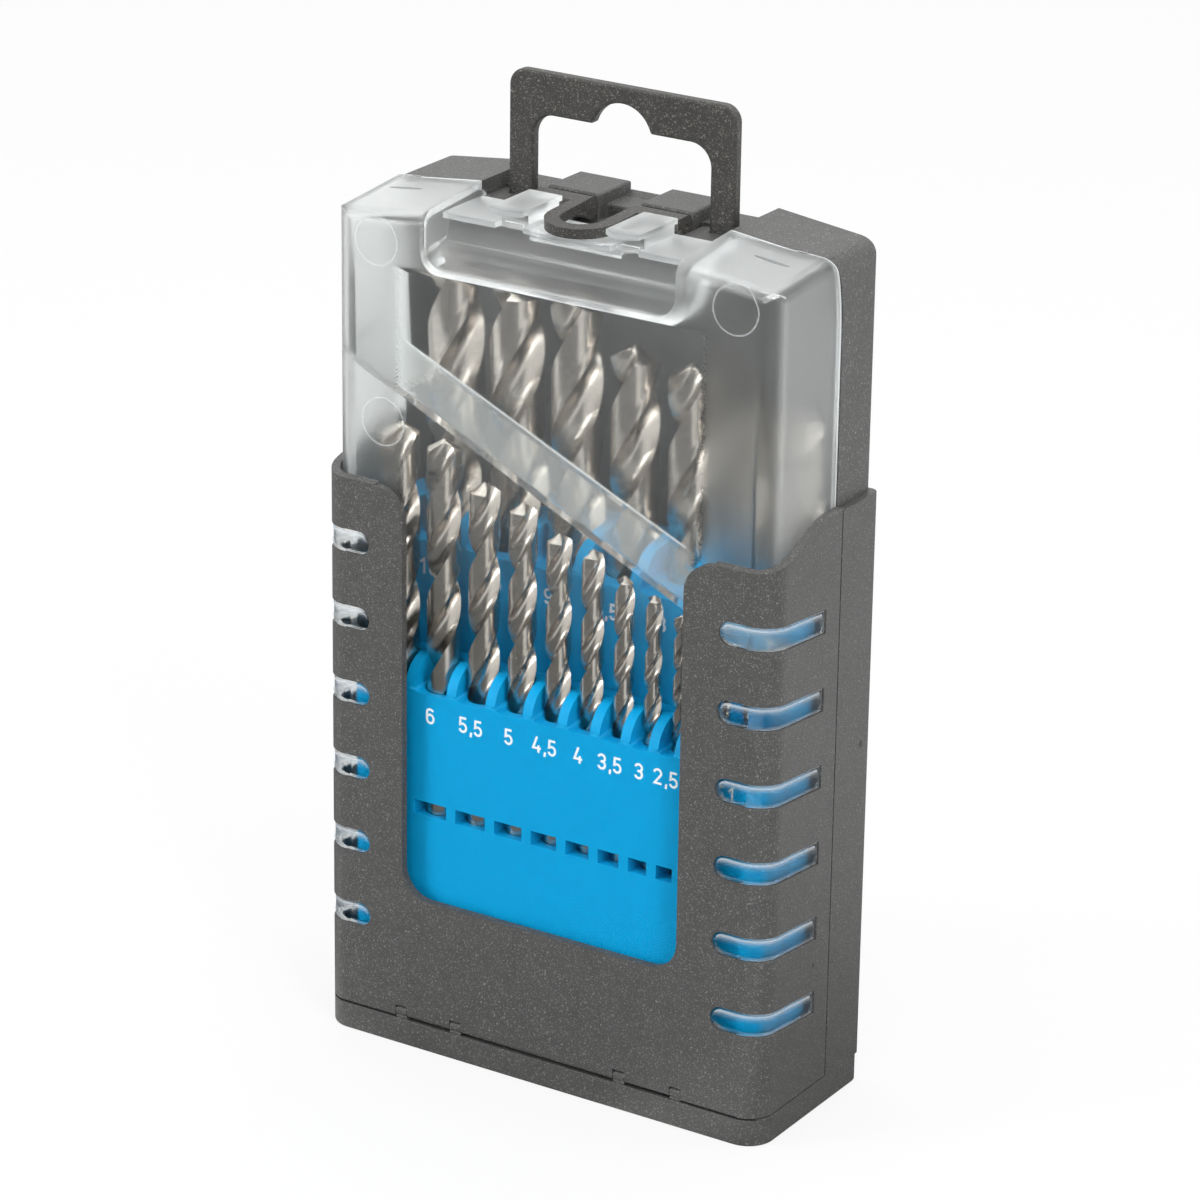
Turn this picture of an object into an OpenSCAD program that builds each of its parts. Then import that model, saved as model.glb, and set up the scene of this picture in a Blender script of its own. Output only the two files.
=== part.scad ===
// Drill bit case: a hinged front with a clear cover, two tilting racks of twist bits,
// a lift-up latch and a sliding hanger. The case stands on its base, its front faces -Y.

/* [Case] */
// Width across the lower shells
case_w = 90.5; // [88:0.5:96]
// Depth from the front face to the rear face
case_d = 34.6; // [34.2:0.1:37]
// Height of the base band
base_h = 5.2; // [4.6:0.1:7]
// Thickness of the base floor
floor_t = 2.4; // [1.6:0.1:3]
// Wall of the base band
base_wall = 2; // [1.6:0.1:2.4]
// How far the band lies inside the rear shell, at the back
band_inset = 0.7; // [0.2:0.1:1.2]
// Vertical corner radius at the front
front_r = 5; // [4:0.5:6]
// Vertical corner radius at the rear
rear_r = 1.5; // [1:0.1:2.5]
// Where the front ends and the rear shell begins, from the front face
seam_y = 22.3; // [22:0.1:22.9]
// Gap at the seam
seam_gap = 0.2; // [0.1:0.05:0.4]
// How far the rear shell reaches forward over the top of the seam
hood_d = 3.7; // [3:0.1:3.9]
// Height of that curved stretch of the seam
hood_h = 13.5; // [10:0.5:16]
// Height of the full-width shells
frame_top = 110; // [108:0.5:116]
// Height of the closed case, without the hanger
body_h = 155.3; // [154:0.1:162]

/* [Front frame] */
// Wall of the front frame, which the cover lies behind
frame_wall = 1.45; // [1.2:0.05:1.7]
// Gap between the frame and the cover
cover_gap = 0.05; // [0.05:0.05:0.15]
// Width of each arm beside the window
arm_w = 17.05; // [16.2:0.05:20]
// Height of the window's lower edge
window_z = 29; // [26:0.5:40]
// Radius of the window's lower corners
window_r = 5.5; // [3:0.5:8]
// Radius of the tops of the arms beside the window
arm_r = 5.7; // [3:0.1:7]
// Height of the arms at the front face
arm_z = 104.2; // [100:0.2:107]
// Number of grip slots on each side
slot_n = 6; // [3:1:6]
// Distance from one grip slot to the next
slot_pitch = 14; // [10:0.5:14]
// Height of the top slot's middle, at the front
slot_z = 93; // [88:0.5:95]
// Height of one slot
slot_h = 4.3; // [3:0.1:6]
// How much lower a slot lies at its rear end
slot_drop = 1.8; // [0:0.1:3]
// Where a slot's rear end lies, from the front face
slot_end_y = 17.8; // [12:0.1:19]
// How far a slot reaches in from the side of the case
slot_reach = 10.15; // [8:0.05:12]
// Clearance round each clear rib in its slot
rib_gap = 0.12; // [0.05:0.01:0.2]

/* [Clear cover] */
// Wall of the cover
cover_wall = 1.5; // [1.2:0.1:1.8]
// Vertical corner radius of the cover
cover_r = 4.5; // [4:0.5:6]
// Height of the cover's lower edge
cover_z = 9; // [8:0.5:14]
// Half width of the trough in the top
trough_half = 24.6; // [23:0.2:27]
// How far the trough's front lip lies below the top of the case
lip_drop = 11; // [8.5:0.1:11.2]
// How far the shelf behind the trough lies below the top of the case
shelf_drop = 2.6; // [2.5:0.1:3]
// Where the shelf begins, from the front face
shelf_y = 6.9; // [6.4:0.1:7.6]
// Thickness of the shelf's front edge
shelf_t = 1; // [0.8:0.1:1.2]
// Where the trough's wall meets the shelf, from the front face
trough_y = 9; // [8.6:0.1:9.6]
// Fall of the cover's top from the trough to the sides, for each millimetre
top_fall = 0.117; // [0.08:0.001:0.13]
// How far the cover's top leans down to the front, in degrees
top_tilt = 4.5; // [3:0.5:6]
// Height of the middle of the retaining rib, on the cover's front wall
rib_z = 107; // [106:0.5:109]
// Fall of the retaining rib for each millimetre to the right
rib_slope = 0.465; // [0.4:0.005:0.5]
// Thickness of the retaining rib
rib_t = 1.3; // [1:0.1:2]

/* [Lid hinge] */
// Radius of the hinge barrel
barrel_r = 1; // [0.9:0.05:1.2]
// Radius of the hinge pin
pin_r = 0.45; // [0.3:0.05:0.5]
// Half length of the hinge pin
pin_half = 29.6; // [29.4:0.2:34]
// Places of the fixed knuckles, from the middle
knuckle_x = 17; // [10:0.5:20]
// Length of one fixed knuckle
knuckle_w = 2.2; // [2:0.1:4]
// Running clearance of hinge pins
run_gap = 0.05; // [0.02:0.01:0.1]
// Gap between pieces that pass each other
pass_gap = 0.1; // [0.1:0.05:0.2]

/* [Latch] */
// Radius of the latch's rear end about its axis
latch_r = 1.9; // [1.6:0.1:2]
// Thickness of the latch plate
latch_t = 1.75; // [1.5:0.05:1.85]
// How far the latch slopes down to the front, in degrees
latch_tilt = 2.5; // [1.5:0.5:3]
// Half width over the wings
wing_half = 14.5; // [12.5:0.1:14.8]
// Half width of the finger channel
channel_half = 4.1; // [3.6:0.1:4.6]
// Outer radius of the latch loop
loop_r = 6.5; // [6:0.1:7]
// Radius of the loop's eye
eye_r = 3.9; // [3.2:0.1:4.2]
// Distance from the front face to the blocks behind the latch
block_y = 23.2; // [23.1:0.1:23.6]
// Distance from the latch axis to the front of the loop
latch_len = 15.6; // [15:0.1:16]
// Radius of the latch pins
latch_pin_r = 0.6; // [0.4:0.05:0.7]

/* [Hanger] */
// Half width of the hanger
hang_half = 22.3; // [21:0.1:23]
// Width of one hanger leg
leg_w = 4.8; // [4:0.1:6]
// Thickness of the hanger
hang_t = 2.1; // [1.6:0.1:2.3]
// Distance from the front face to the hanger
hang_y = 23.3; // [23.3:0.1:24.4]
// How far the hanger's top edge stands above the case
hang_top = 19.2; // [17:0.1:24]
// How far the hanger's window reaches above the case
hang_window_z = 11.9; // [9:0.1:12.5]
// Radius of the euro arch
arch_r = 5.9; // [4:0.1:6.5]
// How deep the hanger's legs reach into the case
leg_depth = 11; // [9:0.5:12]

/* [Racks] */
// Distance from the front face to the front rack's face
front_rack_y = 3.4; // [3.3:0.1:3.6]
// Thickness of the front rack
front_rack_t = 8.4; // [8.2:0.1:8.6]
// Distance from the front face to the rear rack's face
rear_rack_y = 12.4; // [12.3:0.1:12.8]
// Thickness of the rear rack
rear_rack_t = 14; // [13.6:0.1:14.4]
// Height of the front rack's lip
front_lip_z = 66.7; // [62:0.5:70]
// Height of the rear rack's lip
rear_lip_z = 91.1; // [88:0.5:93]
// Rise of the webs between the bits above the lip
web_rise = 5.7; // [4:0.1:7]
// Clearance between a rack's end and the cover
rack_end_gap = 0.8; // [0.5:0.05:1]
// Radius of the trunnions that a rack tilts on
trunnion_r = 2; // [1.5:0.1:2.4]
// Clearance of a bit in its pocket
pocket_gap = 0.1; // [0.05:0.01:0.2]
// Extra width of the notch in front of each bit
notch_extra = 0.7; // [0.4:0.1:1.2]
// Height of the small windows that show the shanks
peep_z = 45.1; // [40:0.5:55]
// Height of one small window
peep_h = 2.6; // [2:0.1:4]

/* [Bits] */
// Largest bit of the front row
front_first_d = 6.5; // [6.5:0.5:6.5]
// Largest bit of the rear row
rear_first_d = 10; // [10:0.5:10]
// Step from one bit to the next
bit_step = 0.5; // [0.5:0.5:0.5]
// Distance from the front rack's left end to its largest bit
front_lead = 8.1; // [6:0.1:9]
// Distance from the front rack's smallest bit to its right end
front_tail = 4.85; // [3.6:0.05:6]
// Distance from the rear rack's left end to its largest bit
rear_lead = 10.5; // [8.2:0.1:11]
// Distance from the rear rack's smallest bit to its right end
rear_tail = 3.9; // [3.7:0.1:6]
// Depth of the front row's bit axes behind the rack's face
front_bit_y = 4.2; // [4.1:0.1:4.3]
// Depth of the rear row's bit axes behind the rack's face
rear_bit_y = 7.8; // [7.4:0.1:8]
// Helix angle of the flutes, in degrees
helix = 28; // [24:1:32]
// Full angle of the drill point, in degrees
point_angle = 118; // [90:1:140]

/* [Hidden] */
$fn = 64;

eps = 0.01;
far = 300;                       // longer than anything in the case
overrun = 9;                     // how far a blank runs past the cut that ends it

// standard overall and flute lengths of jobber bits, by diameter
BIT_LENGTH = [[1, 34], [1.5, 40], [2, 49], [2.5, 57], [3, 61], [3.5, 70], [4, 75], [4.5, 80],
  [5, 86], [5.5, 93], [6, 93], [6.5, 101], [7, 109], [7.5, 109], [8, 117], [8.5, 117],
  [9, 125], [9.5, 125], [10, 133]];
BIT_FLUTE = [[1, 12], [1.5, 18], [2, 24], [2.5, 30], [3, 33], [3.5, 39], [4, 43], [4.5, 47],
  [5, 52], [5.5, 57], [6, 57], [6.5, 63], [7, 69], [7.5, 69], [8, 75], [8.5, 75],
  [9, 81], [9.5, 81], [10, 87]];
// heights of the pocket floors, from the largest bit of each row
FRONT_FLOOR = [13, 19.6, 13.4, 18.4, 20.4, 24, 25.6, 32.4, 34, 39, 44, 47];
REAR_FLOOR = [8.6, 14, 14, 14.6, 13.4, 15.5, 16.6];
flute_sides = 12;
flute_rings = 8;                 // rings in one turn of a flute
land_relief = 0.02;              // how far the lands lie below the shank
chisel = 0.08;                   // share of the section left at the point

front_n = len(FRONT_FLOOR);
rear_n = len(REAR_FLOOR);

shell_wall = 1.6;
half_w = case_w / 2;
window_half = half_w - arm_w;
slot_end_x = half_w - slot_reach;
cover_y = frame_wall + cover_gap;
cover_half = half_w - frame_wall - 2 * cover_gap;
upper_half = cover_half + 0.3;
lip_z = body_h - lip_drop;
shelf_z = body_h - shelf_drop;
shell_y = seam_y + seam_gap;
upper_d = case_d - 0.7;
rear_in_r = 0.5;                 // inner corners at the rear
rim_y = seam_y - hood_d;         // where the seam ends at the top
ledge_z = frame_top - 0.5;
// the lid turns about a line just above the base, inside its front edge
lid_z = base_h + pass_gap;
hinge_y = barrel_r;
hinge_z = lid_z + barrel_r;
hinge_wall = hinge_y + barrel_r + 0.4;
step_h = 0.25;
step_d = hinge_y + 0.8;
// the latch turns about a line just in front of the blocks
latch_z = body_h - latch_r;
latch_y = block_y - latch_r - pass_gap;
block_half = wing_half - 0.2;
deck_z = body_h - 4.8;
deck_step_z = body_h - 2.3;
deck_step_y = hang_y + hang_t + 0.6;
deck_half = trough_half;
deck_t = 1.6;
block_end = upper_d - 0.6;
ear_x = [8, 11];
// tabs on the cover, one each side of the latch
tab_x = [8.1, 14.6];
tab_y = [5, rim_y - 0.5];
tab_top = body_h + 0.35;
tab_t = 0.9;
tab_overhang = 3.8;              // how far a tab's plate reaches beyond its stem
tab_edge = 0.6;
// the shelf is lower under the latch's loop, and a nub stands up in its eye
pad_half = loop_r + 0.7;
pad_y = [shelf_y + 1.3, rim_y];
pad_drop = 1.2;
rim_drop = 0.25;
nub_half = 2.4;
nub_y = [latch_y - latch_len + loop_r - eye_r + 0.3, latch_y - latch_len + loop_r - 1.4];
// hanger
hang_in = hang_half - leg_w;
hang_z = body_h + hang_top;
hang_window = body_h + hang_window_z;
lug = 1.2;
stem_w = 1.6;
stem_front = 1.1;
slot_clear = 0.15;
// racks
front_mid = front_rack_y + front_rack_t / 2;
rear_mid = rear_rack_y + rear_rack_t / 2;
rack_half = cover_half - cover_wall - rack_end_gap;
rack_lift = 0.6;
front_pivot_z = floor_t + rack_lift + front_rack_t / 2;
rear_pivot_z = floor_t + rack_lift + rear_rack_t / 2;
neck_half = rack_half - 2.8;
rack_corner = cover_r - cover_wall + 0.4;
neck_top = rear_pivot_z + 6.2;
cheek_x = [neck_half + 0.3, rack_half];
cheek_r = trunnion_r + 1.2;
front_first_x = rack_half - front_lead;
rear_first_x = rack_half - rear_lead;
front_gap = row_gap(front_first_d, front_lead, front_tail, front_n);
rear_gap = row_gap(rear_first_d, rear_lead, rear_tail, rear_n);
front_axis_y = front_rack_y + front_bit_y;
rear_axis_y = rear_rack_y + rear_bit_y;

function bit_d(first, i) = first - i * bit_step;
function bit_x(first, x, gap, i) =
  i == 0 ? x : bit_x(first, x, gap, i - 1) + (bit_d(first, i - 1) + bit_d(first, i)) / 2 + gap;
// the gap between neighbours that shares a row's bits out over its rack
function row_gap(first, lead, tail, n) =
  (2 * rack_half - lead - tail - (n - 1) * (first - (n - 1) * bit_step / 2)) / (n - 1);
function slot_mid(i) = slot_z - i * slot_pitch;

// ---- shared shapes ----

// the model is built from the front face back, then centred on its depth
module centred() translate([0, -case_d / 2, 0]) children();

// a flat outline in Y and Z, extruded along X
module along_x(x0, x1) translate([x0, 0, 0]) rotate([90, 0, 90]) linear_extrude(x1 - x0) children();

// a flat outline in X and Z, extruded along Y
module along_y(y0, y1) translate([0, y1, 0]) rotate([90, 0, 0]) linear_extrude(y1 - y0) children();

module both_sides() {
  children();
  mirror([1, 0, 0]) children();
}

module box(x, y, z) translate([x[0], y[0], z[0]]) cube([x[1] - x[0], y[1] - y[0], z[1] - z[0]]);

module rod_x(x0, x1, y, z, r) translate([x0, y, z]) rotate([0, 90, 0]) cylinder(r = r, h = x1 - x0);

// plan outline from y0 to y1, with round corners in front and behind
module plan(half, y0, y1, rf, rr) {
  translate([-half, y0 + rf]) square([2 * half, y1 - y0 - rf - rr]);
  translate([rf - half, y0]) square([2 * (half - rf), rf + eps]);
  translate([rr - half, y1 - rr - eps]) square([2 * (half - rr), rr + eps]);
  for (s = [-1, 1]) {
    translate([s * (half - rf), y0 + rf]) circle(rf);
    translate([s * (half - rr), y1 - rr]) circle(rr);
  }
}

// the grip slots of the right side, narrowed by gap all round
module slot_cuts(gap) for (i = [0 : slot_n - 1]) translate([0, 0, slot_mid(i)]) {
  h = slot_h / 2 - gap;
  bend = half_w - front_r;
  start = slot_end_x + slot_h / 2;
  along_y(-1, front_r) translate([start, 0]) circle(h);
  box([start, bend + eps], [-1, front_r], [-h, h]);
  along_x(bend, half_w + 1) polygon([[-1, h], [slot_end_y - gap, h - slot_drop],
    [slot_end_y - gap, -h - slot_drop], [-1, -h]]);
}

// ---- case body ----

module base_tray() color("#565554") centred() {
  difference() {
    union() {
      difference() {
        linear_extrude(base_h) plan(half_w, 0, case_d - band_inset, front_r, rear_r);
        translate([0, 0, floor_t]) linear_extrude(base_h)
          plan(half_w - base_wall, base_wall, case_d - band_inset - base_wall,
            front_r - base_wall, rear_in_r);
        box([-far, far], [-1, step_d], [base_h - step_h, far]);
      }
      both_sides() cheek();
      for (x = [-pin_half + knuckle_w / 2, -knuckle_x, knuckle_x, pin_half - knuckle_w / 2])
        translate([x - knuckle_w / 2, 0, 0]) knuckle();
    }
    both_sides() {
      rod_x(cheek_x[0] - 1, cheek_x[1] + 1, front_mid, front_pivot_z, trunnion_r + run_gap);
      rod_x(cheek_x[0] - 1, cheek_x[1] + 1, rear_mid, rear_pivot_z, trunnion_r + run_gap);
    }
    rod_x(-pin_half, pin_half, hinge_y, hinge_z, pin_r);
  }
}

module cheek() {
  box(cheek_x, [front_mid - cheek_r, rear_mid + cheek_r], [floor_t - eps, front_pivot_z]);
  box(cheek_x, [rear_mid - cheek_r, rear_mid + cheek_r], [floor_t - eps, rear_pivot_z]);
  rod_x(cheek_x[0], cheek_x[1], front_mid, front_pivot_z, cheek_r);
  rod_x(cheek_x[0], cheek_x[1], rear_mid, rear_pivot_z, cheek_r);
}

module knuckle() {
  rod_x(0, knuckle_w, hinge_y, hinge_z, barrel_r);
  box([0, knuckle_w], [0.2, hinge_y + barrel_r], [base_h - step_h - eps, hinge_z - barrel_r + 0.3]);
  box([0, knuckle_w], [hinge_y, hinge_y + barrel_r], [base_h - step_h - eps, hinge_z]);
}

module hinge_pin() color("#b9b6b0") centred()
  rod_x(-pin_half, pin_half, hinge_y, hinge_z, pin_r);

// outline across the case: sloping shoulders with round corners, lowered and narrowed by inset
module shoulders(half_width, r, inset, bottom) {
  half = half_width - inset;
  lean = atan(top_fall);
  x = half - r;
  z = body_h - top_fall * (x - trough_half) - (r + inset) / cos(lean);
  peak = body_h + top_fall * trough_half - inset / cos(lean);
  polygon([[-half, bottom], [half, bottom], [half, z], [x + r * sin(lean), z + r * cos(lean)], [0, peak],
    [-x - r * sin(lean), z + r * cos(lean)], [-half, z]]);
  for (s = [-1, 1]) translate([s * x, z]) circle(r);
}

// the seam from the side: upright, then curving forward under the hood
function seam_line(gap) = concat([[seam_y + gap, -1]],
  [for (t = [0 : 10 : 90]) [rim_y + gap + hood_d * cos(t), body_h - 1.6 + hood_h * (sin(t) - 1)]],
  [[rim_y + gap, far]]);

module before_seam(gap) along_x(-far, far) polygon(concat([[-far, far], [-far, -1]], seam_line(gap)));

module behind_seam(gap) along_x(-far, far) polygon(concat([[far, far], [far, -1]], seam_line(gap)));

module rear_shell() color("#565554") centred() {
  w = shell_wall;
  difference() {
    union() {
      difference() {
        union() {
          translate([0, 0, base_h]) linear_extrude(ledge_z - base_h)
            plan(half_w, 0, case_d, front_r, rear_r);
          intersection() {
            linear_extrude(far) plan(upper_half, 0, upper_d, front_r, rear_r);
            along_y(0, case_d) shoulders(upper_half, 4, 0, ledge_z - 2 * w);
          }
        }
        linear_extrude(ledge_z - w) plan(half_w - w, 0, case_d - w, front_r, rear_in_r);
        intersection() {
          linear_extrude(far) plan(upper_half - w, 0, upper_d - w, front_r, rear_in_r);
          along_y(0, case_d) shoulders(upper_half, 4 - w, w, ledge_z - 2 * w);
          union() {
            box([-far, far], [0, far], [0, deck_z - deck_t]);
            both_sides() box([deck_half + w, far], [0, far], [0, far]);
          }
        }
        before_seam(seam_gap);
        box([-deck_half, deck_half], [0, deck_step_y], [deck_z, far]);
        box([-deck_half, deck_half], [0, far], [deck_step_z, far]);
      }
      both_sides() {
        box([channel_half, block_half], [block_y, block_end], [deck_z - eps, body_h]);
        box([block_half + 0.6, deck_half - pass_gap], [rim_y + seam_gap, deck_step_y],
          [deck_z - eps, shelf_z - 0.2]);
        latch_ear();
      }
      along_x(-channel_half - eps, channel_half + eps) polygon([[block_y + 3, deck_z - eps],
        [block_end, body_h - 1.6], [upper_d - 0.3, body_h - 1.6], [upper_d - 0.3, deck_z - eps]]);
    }
    both_sides() {
      box([hang_in - slot_clear, hang_half + slot_clear],
        [hang_y - slot_clear, hang_y + hang_t + slot_clear],
        [deck_z - deck_t - 1, far]);
      rod_x(ear_x[0] - 1, ear_x[1] + 1, latch_y, latch_z, latch_pin_r + run_gap);
    }
  }
}

module latch_ear() {
  rod_x(ear_x[0], ear_x[1], latch_y, latch_z, latch_r - 0.6);
  box(ear_x, [latch_y - 0.1, block_y + eps], [deck_z - eps, latch_z - 0.9]);
  box(ear_x, [latch_y - 0.1, latch_y + latch_r - 0.6], [deck_z - eps, latch_z]);
}

// ---- hinged front ----

module window_outline() {
  flare = window_half + arm_r;
  translate([-window_half, window_z + window_r]) square([2 * window_half, far]);
  translate([window_r - window_half, window_z]) square([2 * (window_half - window_r), far]);
  for (s = [-1, 1]) translate([s * (window_half - window_r), window_z + window_r]) circle(window_r);
  difference() {
    translate([-flare, arm_z - arm_r]) square([2 * flare, far]);
    for (s = [-1, 1]) translate([s * flare, arm_z - arm_r]) circle(arm_r);
  }
}

module frame_side_outline() polygon([[-1, lid_z + barrel_r], [-1, arm_z], [2, arm_z + 0.6],
  [7.5, frame_top - 3.7], [15.4, frame_top - 0.4], [18, frame_top], [seam_y, frame_top],
  [seam_y, lid_z], [hinge_y, lid_z], [hinge_y, lid_z + barrel_r]]);

module front_frame() color("#5a5957") centred() {
  difference() {
    union() {
      intersection() {
        linear_extrude(far) plan(half_w, 0, case_d, front_r, rear_r);
        union() {
          along_x(-half_w, half_w) frame_side_outline();
          rod_x(-pin_half, pin_half, hinge_y, hinge_z, barrel_r);
          both_sides() lower_edge();
        }
      }
    }
    translate([0, 0, cover_z - 0.3]) linear_extrude(far)
      plan(half_w - frame_wall, frame_wall, case_d + front_r, front_r - frame_wall, rear_r);
    linear_extrude(far)
      plan(half_w - frame_wall, hinge_wall, case_d + front_r, front_r - frame_wall, rear_r);
    box([-far, far], [seam_y, far], [-1, far]);
    along_y(-1, front_r + 1) window_outline();
    both_sides() slot_cuts(0);
    for (x = [-pin_half + knuckle_w / 2, -knuckle_x, knuckle_x, pin_half - knuckle_w / 2])
      knuckle_room(x);
    rod_x(-pin_half - run_gap, pin_half + run_gap, hinge_y, hinge_z, pin_r + run_gap);
  }
}

// beyond the hinge the lower edge has only a small round
module lower_edge() {
  r = 0.35;
  rod_x(pin_half - eps, half_w, r, lid_z + r, r);
  box([pin_half - eps, half_w], [r, hinge_y + eps], [lid_z, hinge_z + eps]);
  box([pin_half - eps, half_w], [0, hinge_y + eps], [lid_z + r, hinge_z + eps]);
}

module knuckle_room(x) {
  w = knuckle_w / 2 + pass_gap;
  room = barrel_r + 2.5 * pass_gap;
  box([x - w, x + w], [-1, hinge_y + room], [-1, hinge_z + room]);
}

// the front of the cover from the side, rounded over to the top
module cover_profile(inset) {
  r = 2.5 - inset / 2;
  y = cover_y + inset;
  top = (cover_y + r - rim_y) * tan(top_tilt) - inset;
  polygon([[y, -far], [y, top - r], [y + r, top + 0.02], [rim_y, 0.02 - inset],
    [case_d + overrun, 0.02 - inset + (case_d + overrun - rim_y) * tan(top_tilt)],
      [case_d + overrun, -far]]);
  translate([y + r, top - r]) circle(r);
}

module cover_block(inset) intersection() {
  linear_extrude(far)
    plan(cover_half - inset, cover_y + inset, case_d + overrun, cover_r - inset, cover_r);
  translate([0, rim_y, body_h]) rotate([top_tilt, 0, 0]) translate([0, -rim_y, -body_h])
    along_y(-far, far) shoulders(cover_half, 2.6 - inset / 2, inset, -far / 2);
  union() both_sides() intersection() {
    box([-eps, half_w], [0, case_d + overrun], [0, far]);
    translate([trough_half, 0, body_h]) rotate([0, atan(top_fall), 0])
      along_x(-far, far) cover_profile(inset);
  }
}

// the space above the trough and its shelf, grown by one wall for the inside
module trough_space(grow) {
  run = trough_y - cover_y;
  r = 4;
  half = trough_half + grow;
  intersection() {
    along_y(-1, case_d) {
      translate([-half, lip_z - grow + r]) square([2 * half, far]);
      translate([r - half, lip_z - grow]) square([2 * (half - r), far]);
      for (s = [-1, 1]) translate([s * (half - r), lip_z - grow + r]) circle(r);
    }
    along_x(-half, half) {
      translate([cover_y, lip_z + run]) circle(run + grow, $fn = 96);
      translate([cover_y - 2, lip_z - grow]) square([2, far]);
      translate([cover_y - 2, lip_z + run]) square([run + 2 + grow, far]);
      translate([cover_y - 2, shelf_z - grow]) square([far, far]);
    }
  }
}

// the front edge of the shelf, cut back in front of each tab
module shelf_edge() translate([0, 0, shelf_z - shelf_t]) linear_extrude(shelf_t) difference() {
  translate([-trough_half - eps, shelf_y]) square([2 * trough_half + 2 * eps, trough_y + 1 - shelf_y]);
  for (s = [-1, 1]) translate([s * (tab_x[0] + tab_x[1]) / 2, shelf_y]) {
    square([tab_x[1] - tab_x[0] - 1, 2 * (trough_y - shelf_y) - 1], center = true);
    for (k = [-1, 1]) translate([k * ((tab_x[1] - tab_x[0]) / 2 - 1),
      trough_y - shelf_y - 0.5]) circle(0.5);
  }
}

// what the latch's loop needs below it, so that it lets the cover pass
module loop_room(grow) {
  box([-pad_half - grow, pad_half + grow], [pad_y[0] - grow, pad_y[1] + 1],
    [shelf_z - pad_drop - grow, far]);
  box([-pad_half, pad_half], [cover_y, far], [shelf_z - rim_drop, far]);
}

module retaining_rib() {
  turn = atan(rib_slope);
  reach = cover_half / cos(turn);
  deep = [rear_axis_y - bit_d(rear_first_d, 0) / 2 - 1.1,
    rear_axis_y - bit_d(rear_first_d, 4) / 2 - 0.9];
  deep_x = [-cover_half, bit_x(rear_first_d, -rear_first_x, rear_gap, 4) + bit_d(rear_first_d, 4) / 2];
  shallow_y = rear_rack_y - 0.4;
  intersection() {
    translate([0, 0, rib_z]) rotate([0, turn, 0])
      box([-reach, reach], [0, case_d], [-rib_t / 2, rib_t / 2]);
    linear_extrude(far) polygon([[deep_x[0], cover_y + cover_wall - 0.2],
      [cover_half, cover_y + cover_wall - 0.2],
      [cover_half, shallow_y], [deep_x[1], shallow_y], [deep_x[1], deep[1]], [deep_x[0], deep[0]]]);
    cover_block(cover_wall - 0.2);
  }
}

module tab() {
  mid = (tab_x[0] + tab_x[1]) / 2;
  half = (tab_x[1] - tab_x[0]) / 2;
  box([tab_x[0] + tab_edge, tab_x[1] - tab_edge], [tab_y[0] + tab_overhang, tab_y[1]],
    [shelf_z - shelf_t, tab_top - tab_t + eps]);
  translate([mid, 0, tab_top - tab_t]) linear_extrude(tab_t) intersection() {
    translate([-half, tab_y[0]]) square([2 * half, tab_y[1] - tab_y[0]]);
    translate([0, tab_y[0] + 1.5 * half]) union() {
      circle(1.5 * half);
      translate([-half, 0]) square([2 * half, far]);
    }
  }
}

module clear_cover() color([0.86, 0.88, 0.88, 0.45]) centred() difference() {
  union() {
    difference() {
      cover_block(0);
      difference() {
        translate([0, 0, -2]) cover_block(cover_wall);
        trough_space(cover_wall);
        loop_room(cover_wall);
      }
      difference() {
        cover_block(cover_wall);
        trough_space(cover_wall);
        loop_room(cover_wall);
      }
      trough_space(0);
      box([-far, far], [-1, far], [-1, cover_z]);
    }
    shelf_edge();
    retaining_rib();
    both_sides() {
      tab();
      grip_ribs();
    }
  }
  difference() {
    loop_room(0);
    box([-nub_half, nub_half], nub_y, [0, shelf_z - rim_drop]);
  }
  box([-trough_half, trough_half], [rim_y, far], [deck_z - 1, far]);
  behind_seam(0);
}

// the raised ribs that fill the slots of the frame
module grip_ribs() intersection() {
  slot_cuts(rib_gap);
  linear_extrude(frame_top) difference() {
    plan(half_w - 0.3, 0.3, case_d, front_r - 0.3, rear_r);
    plan(half_w - 2.3, 2.3, case_d + overrun, front_r - 2.3, rear_r);
  }
}

// ---- latch and hanger ----

module latch_flap() color("#565554") centred() translate([0, latch_y, latch_z]) {
  wing_y = tab_y[1] + 2 * pass_gap - latch_y;
  loop_y = loop_r - latch_len;
  difference() {
    rotate([latch_tilt, 0, 0]) difference() {
      union() {
        translate([0, 0, latch_r - latch_t]) linear_extrude(latch_t) {
          translate([0, loop_y]) circle(loop_r);
          translate([-loop_r, loop_y]) square([2 * loop_r, wing_y - loop_y + eps]);
          translate([-wing_half, wing_y]) square([2 * wing_half, -wing_y]);
        }
        rod_x(-wing_half, wing_half, 0, 0, latch_r);
      }
      translate([0, 0, -5]) linear_extrude(10) {
        translate([0, loop_y]) circle(eye_r);
        polygon([[-eye_r, loop_y], [eye_r, loop_y], [channel_half, -1], [channel_half, 5],
          [-channel_half, 5], [-channel_half, -1]]);
      }
      both_sides() {
        rod_x(ear_x[0] - pass_gap, ear_x[1] + pass_gap, 0, 0, latch_r - 0.45);
        box([ear_x[0] - pass_gap, ear_x[1] + pass_gap], [-1.9, latch_r + 1], [-5, 0.3]);
        rod_x(channel_half + 0.7, wing_half + 1, 0, 0, latch_pin_r);
      }
    }
  }
}

module latch_pins() color("#b9b6b0") centred()
  both_sides() rod_x(channel_half + 0.7, wing_half - 0.3, latch_y, latch_z, latch_pin_r);

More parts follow.
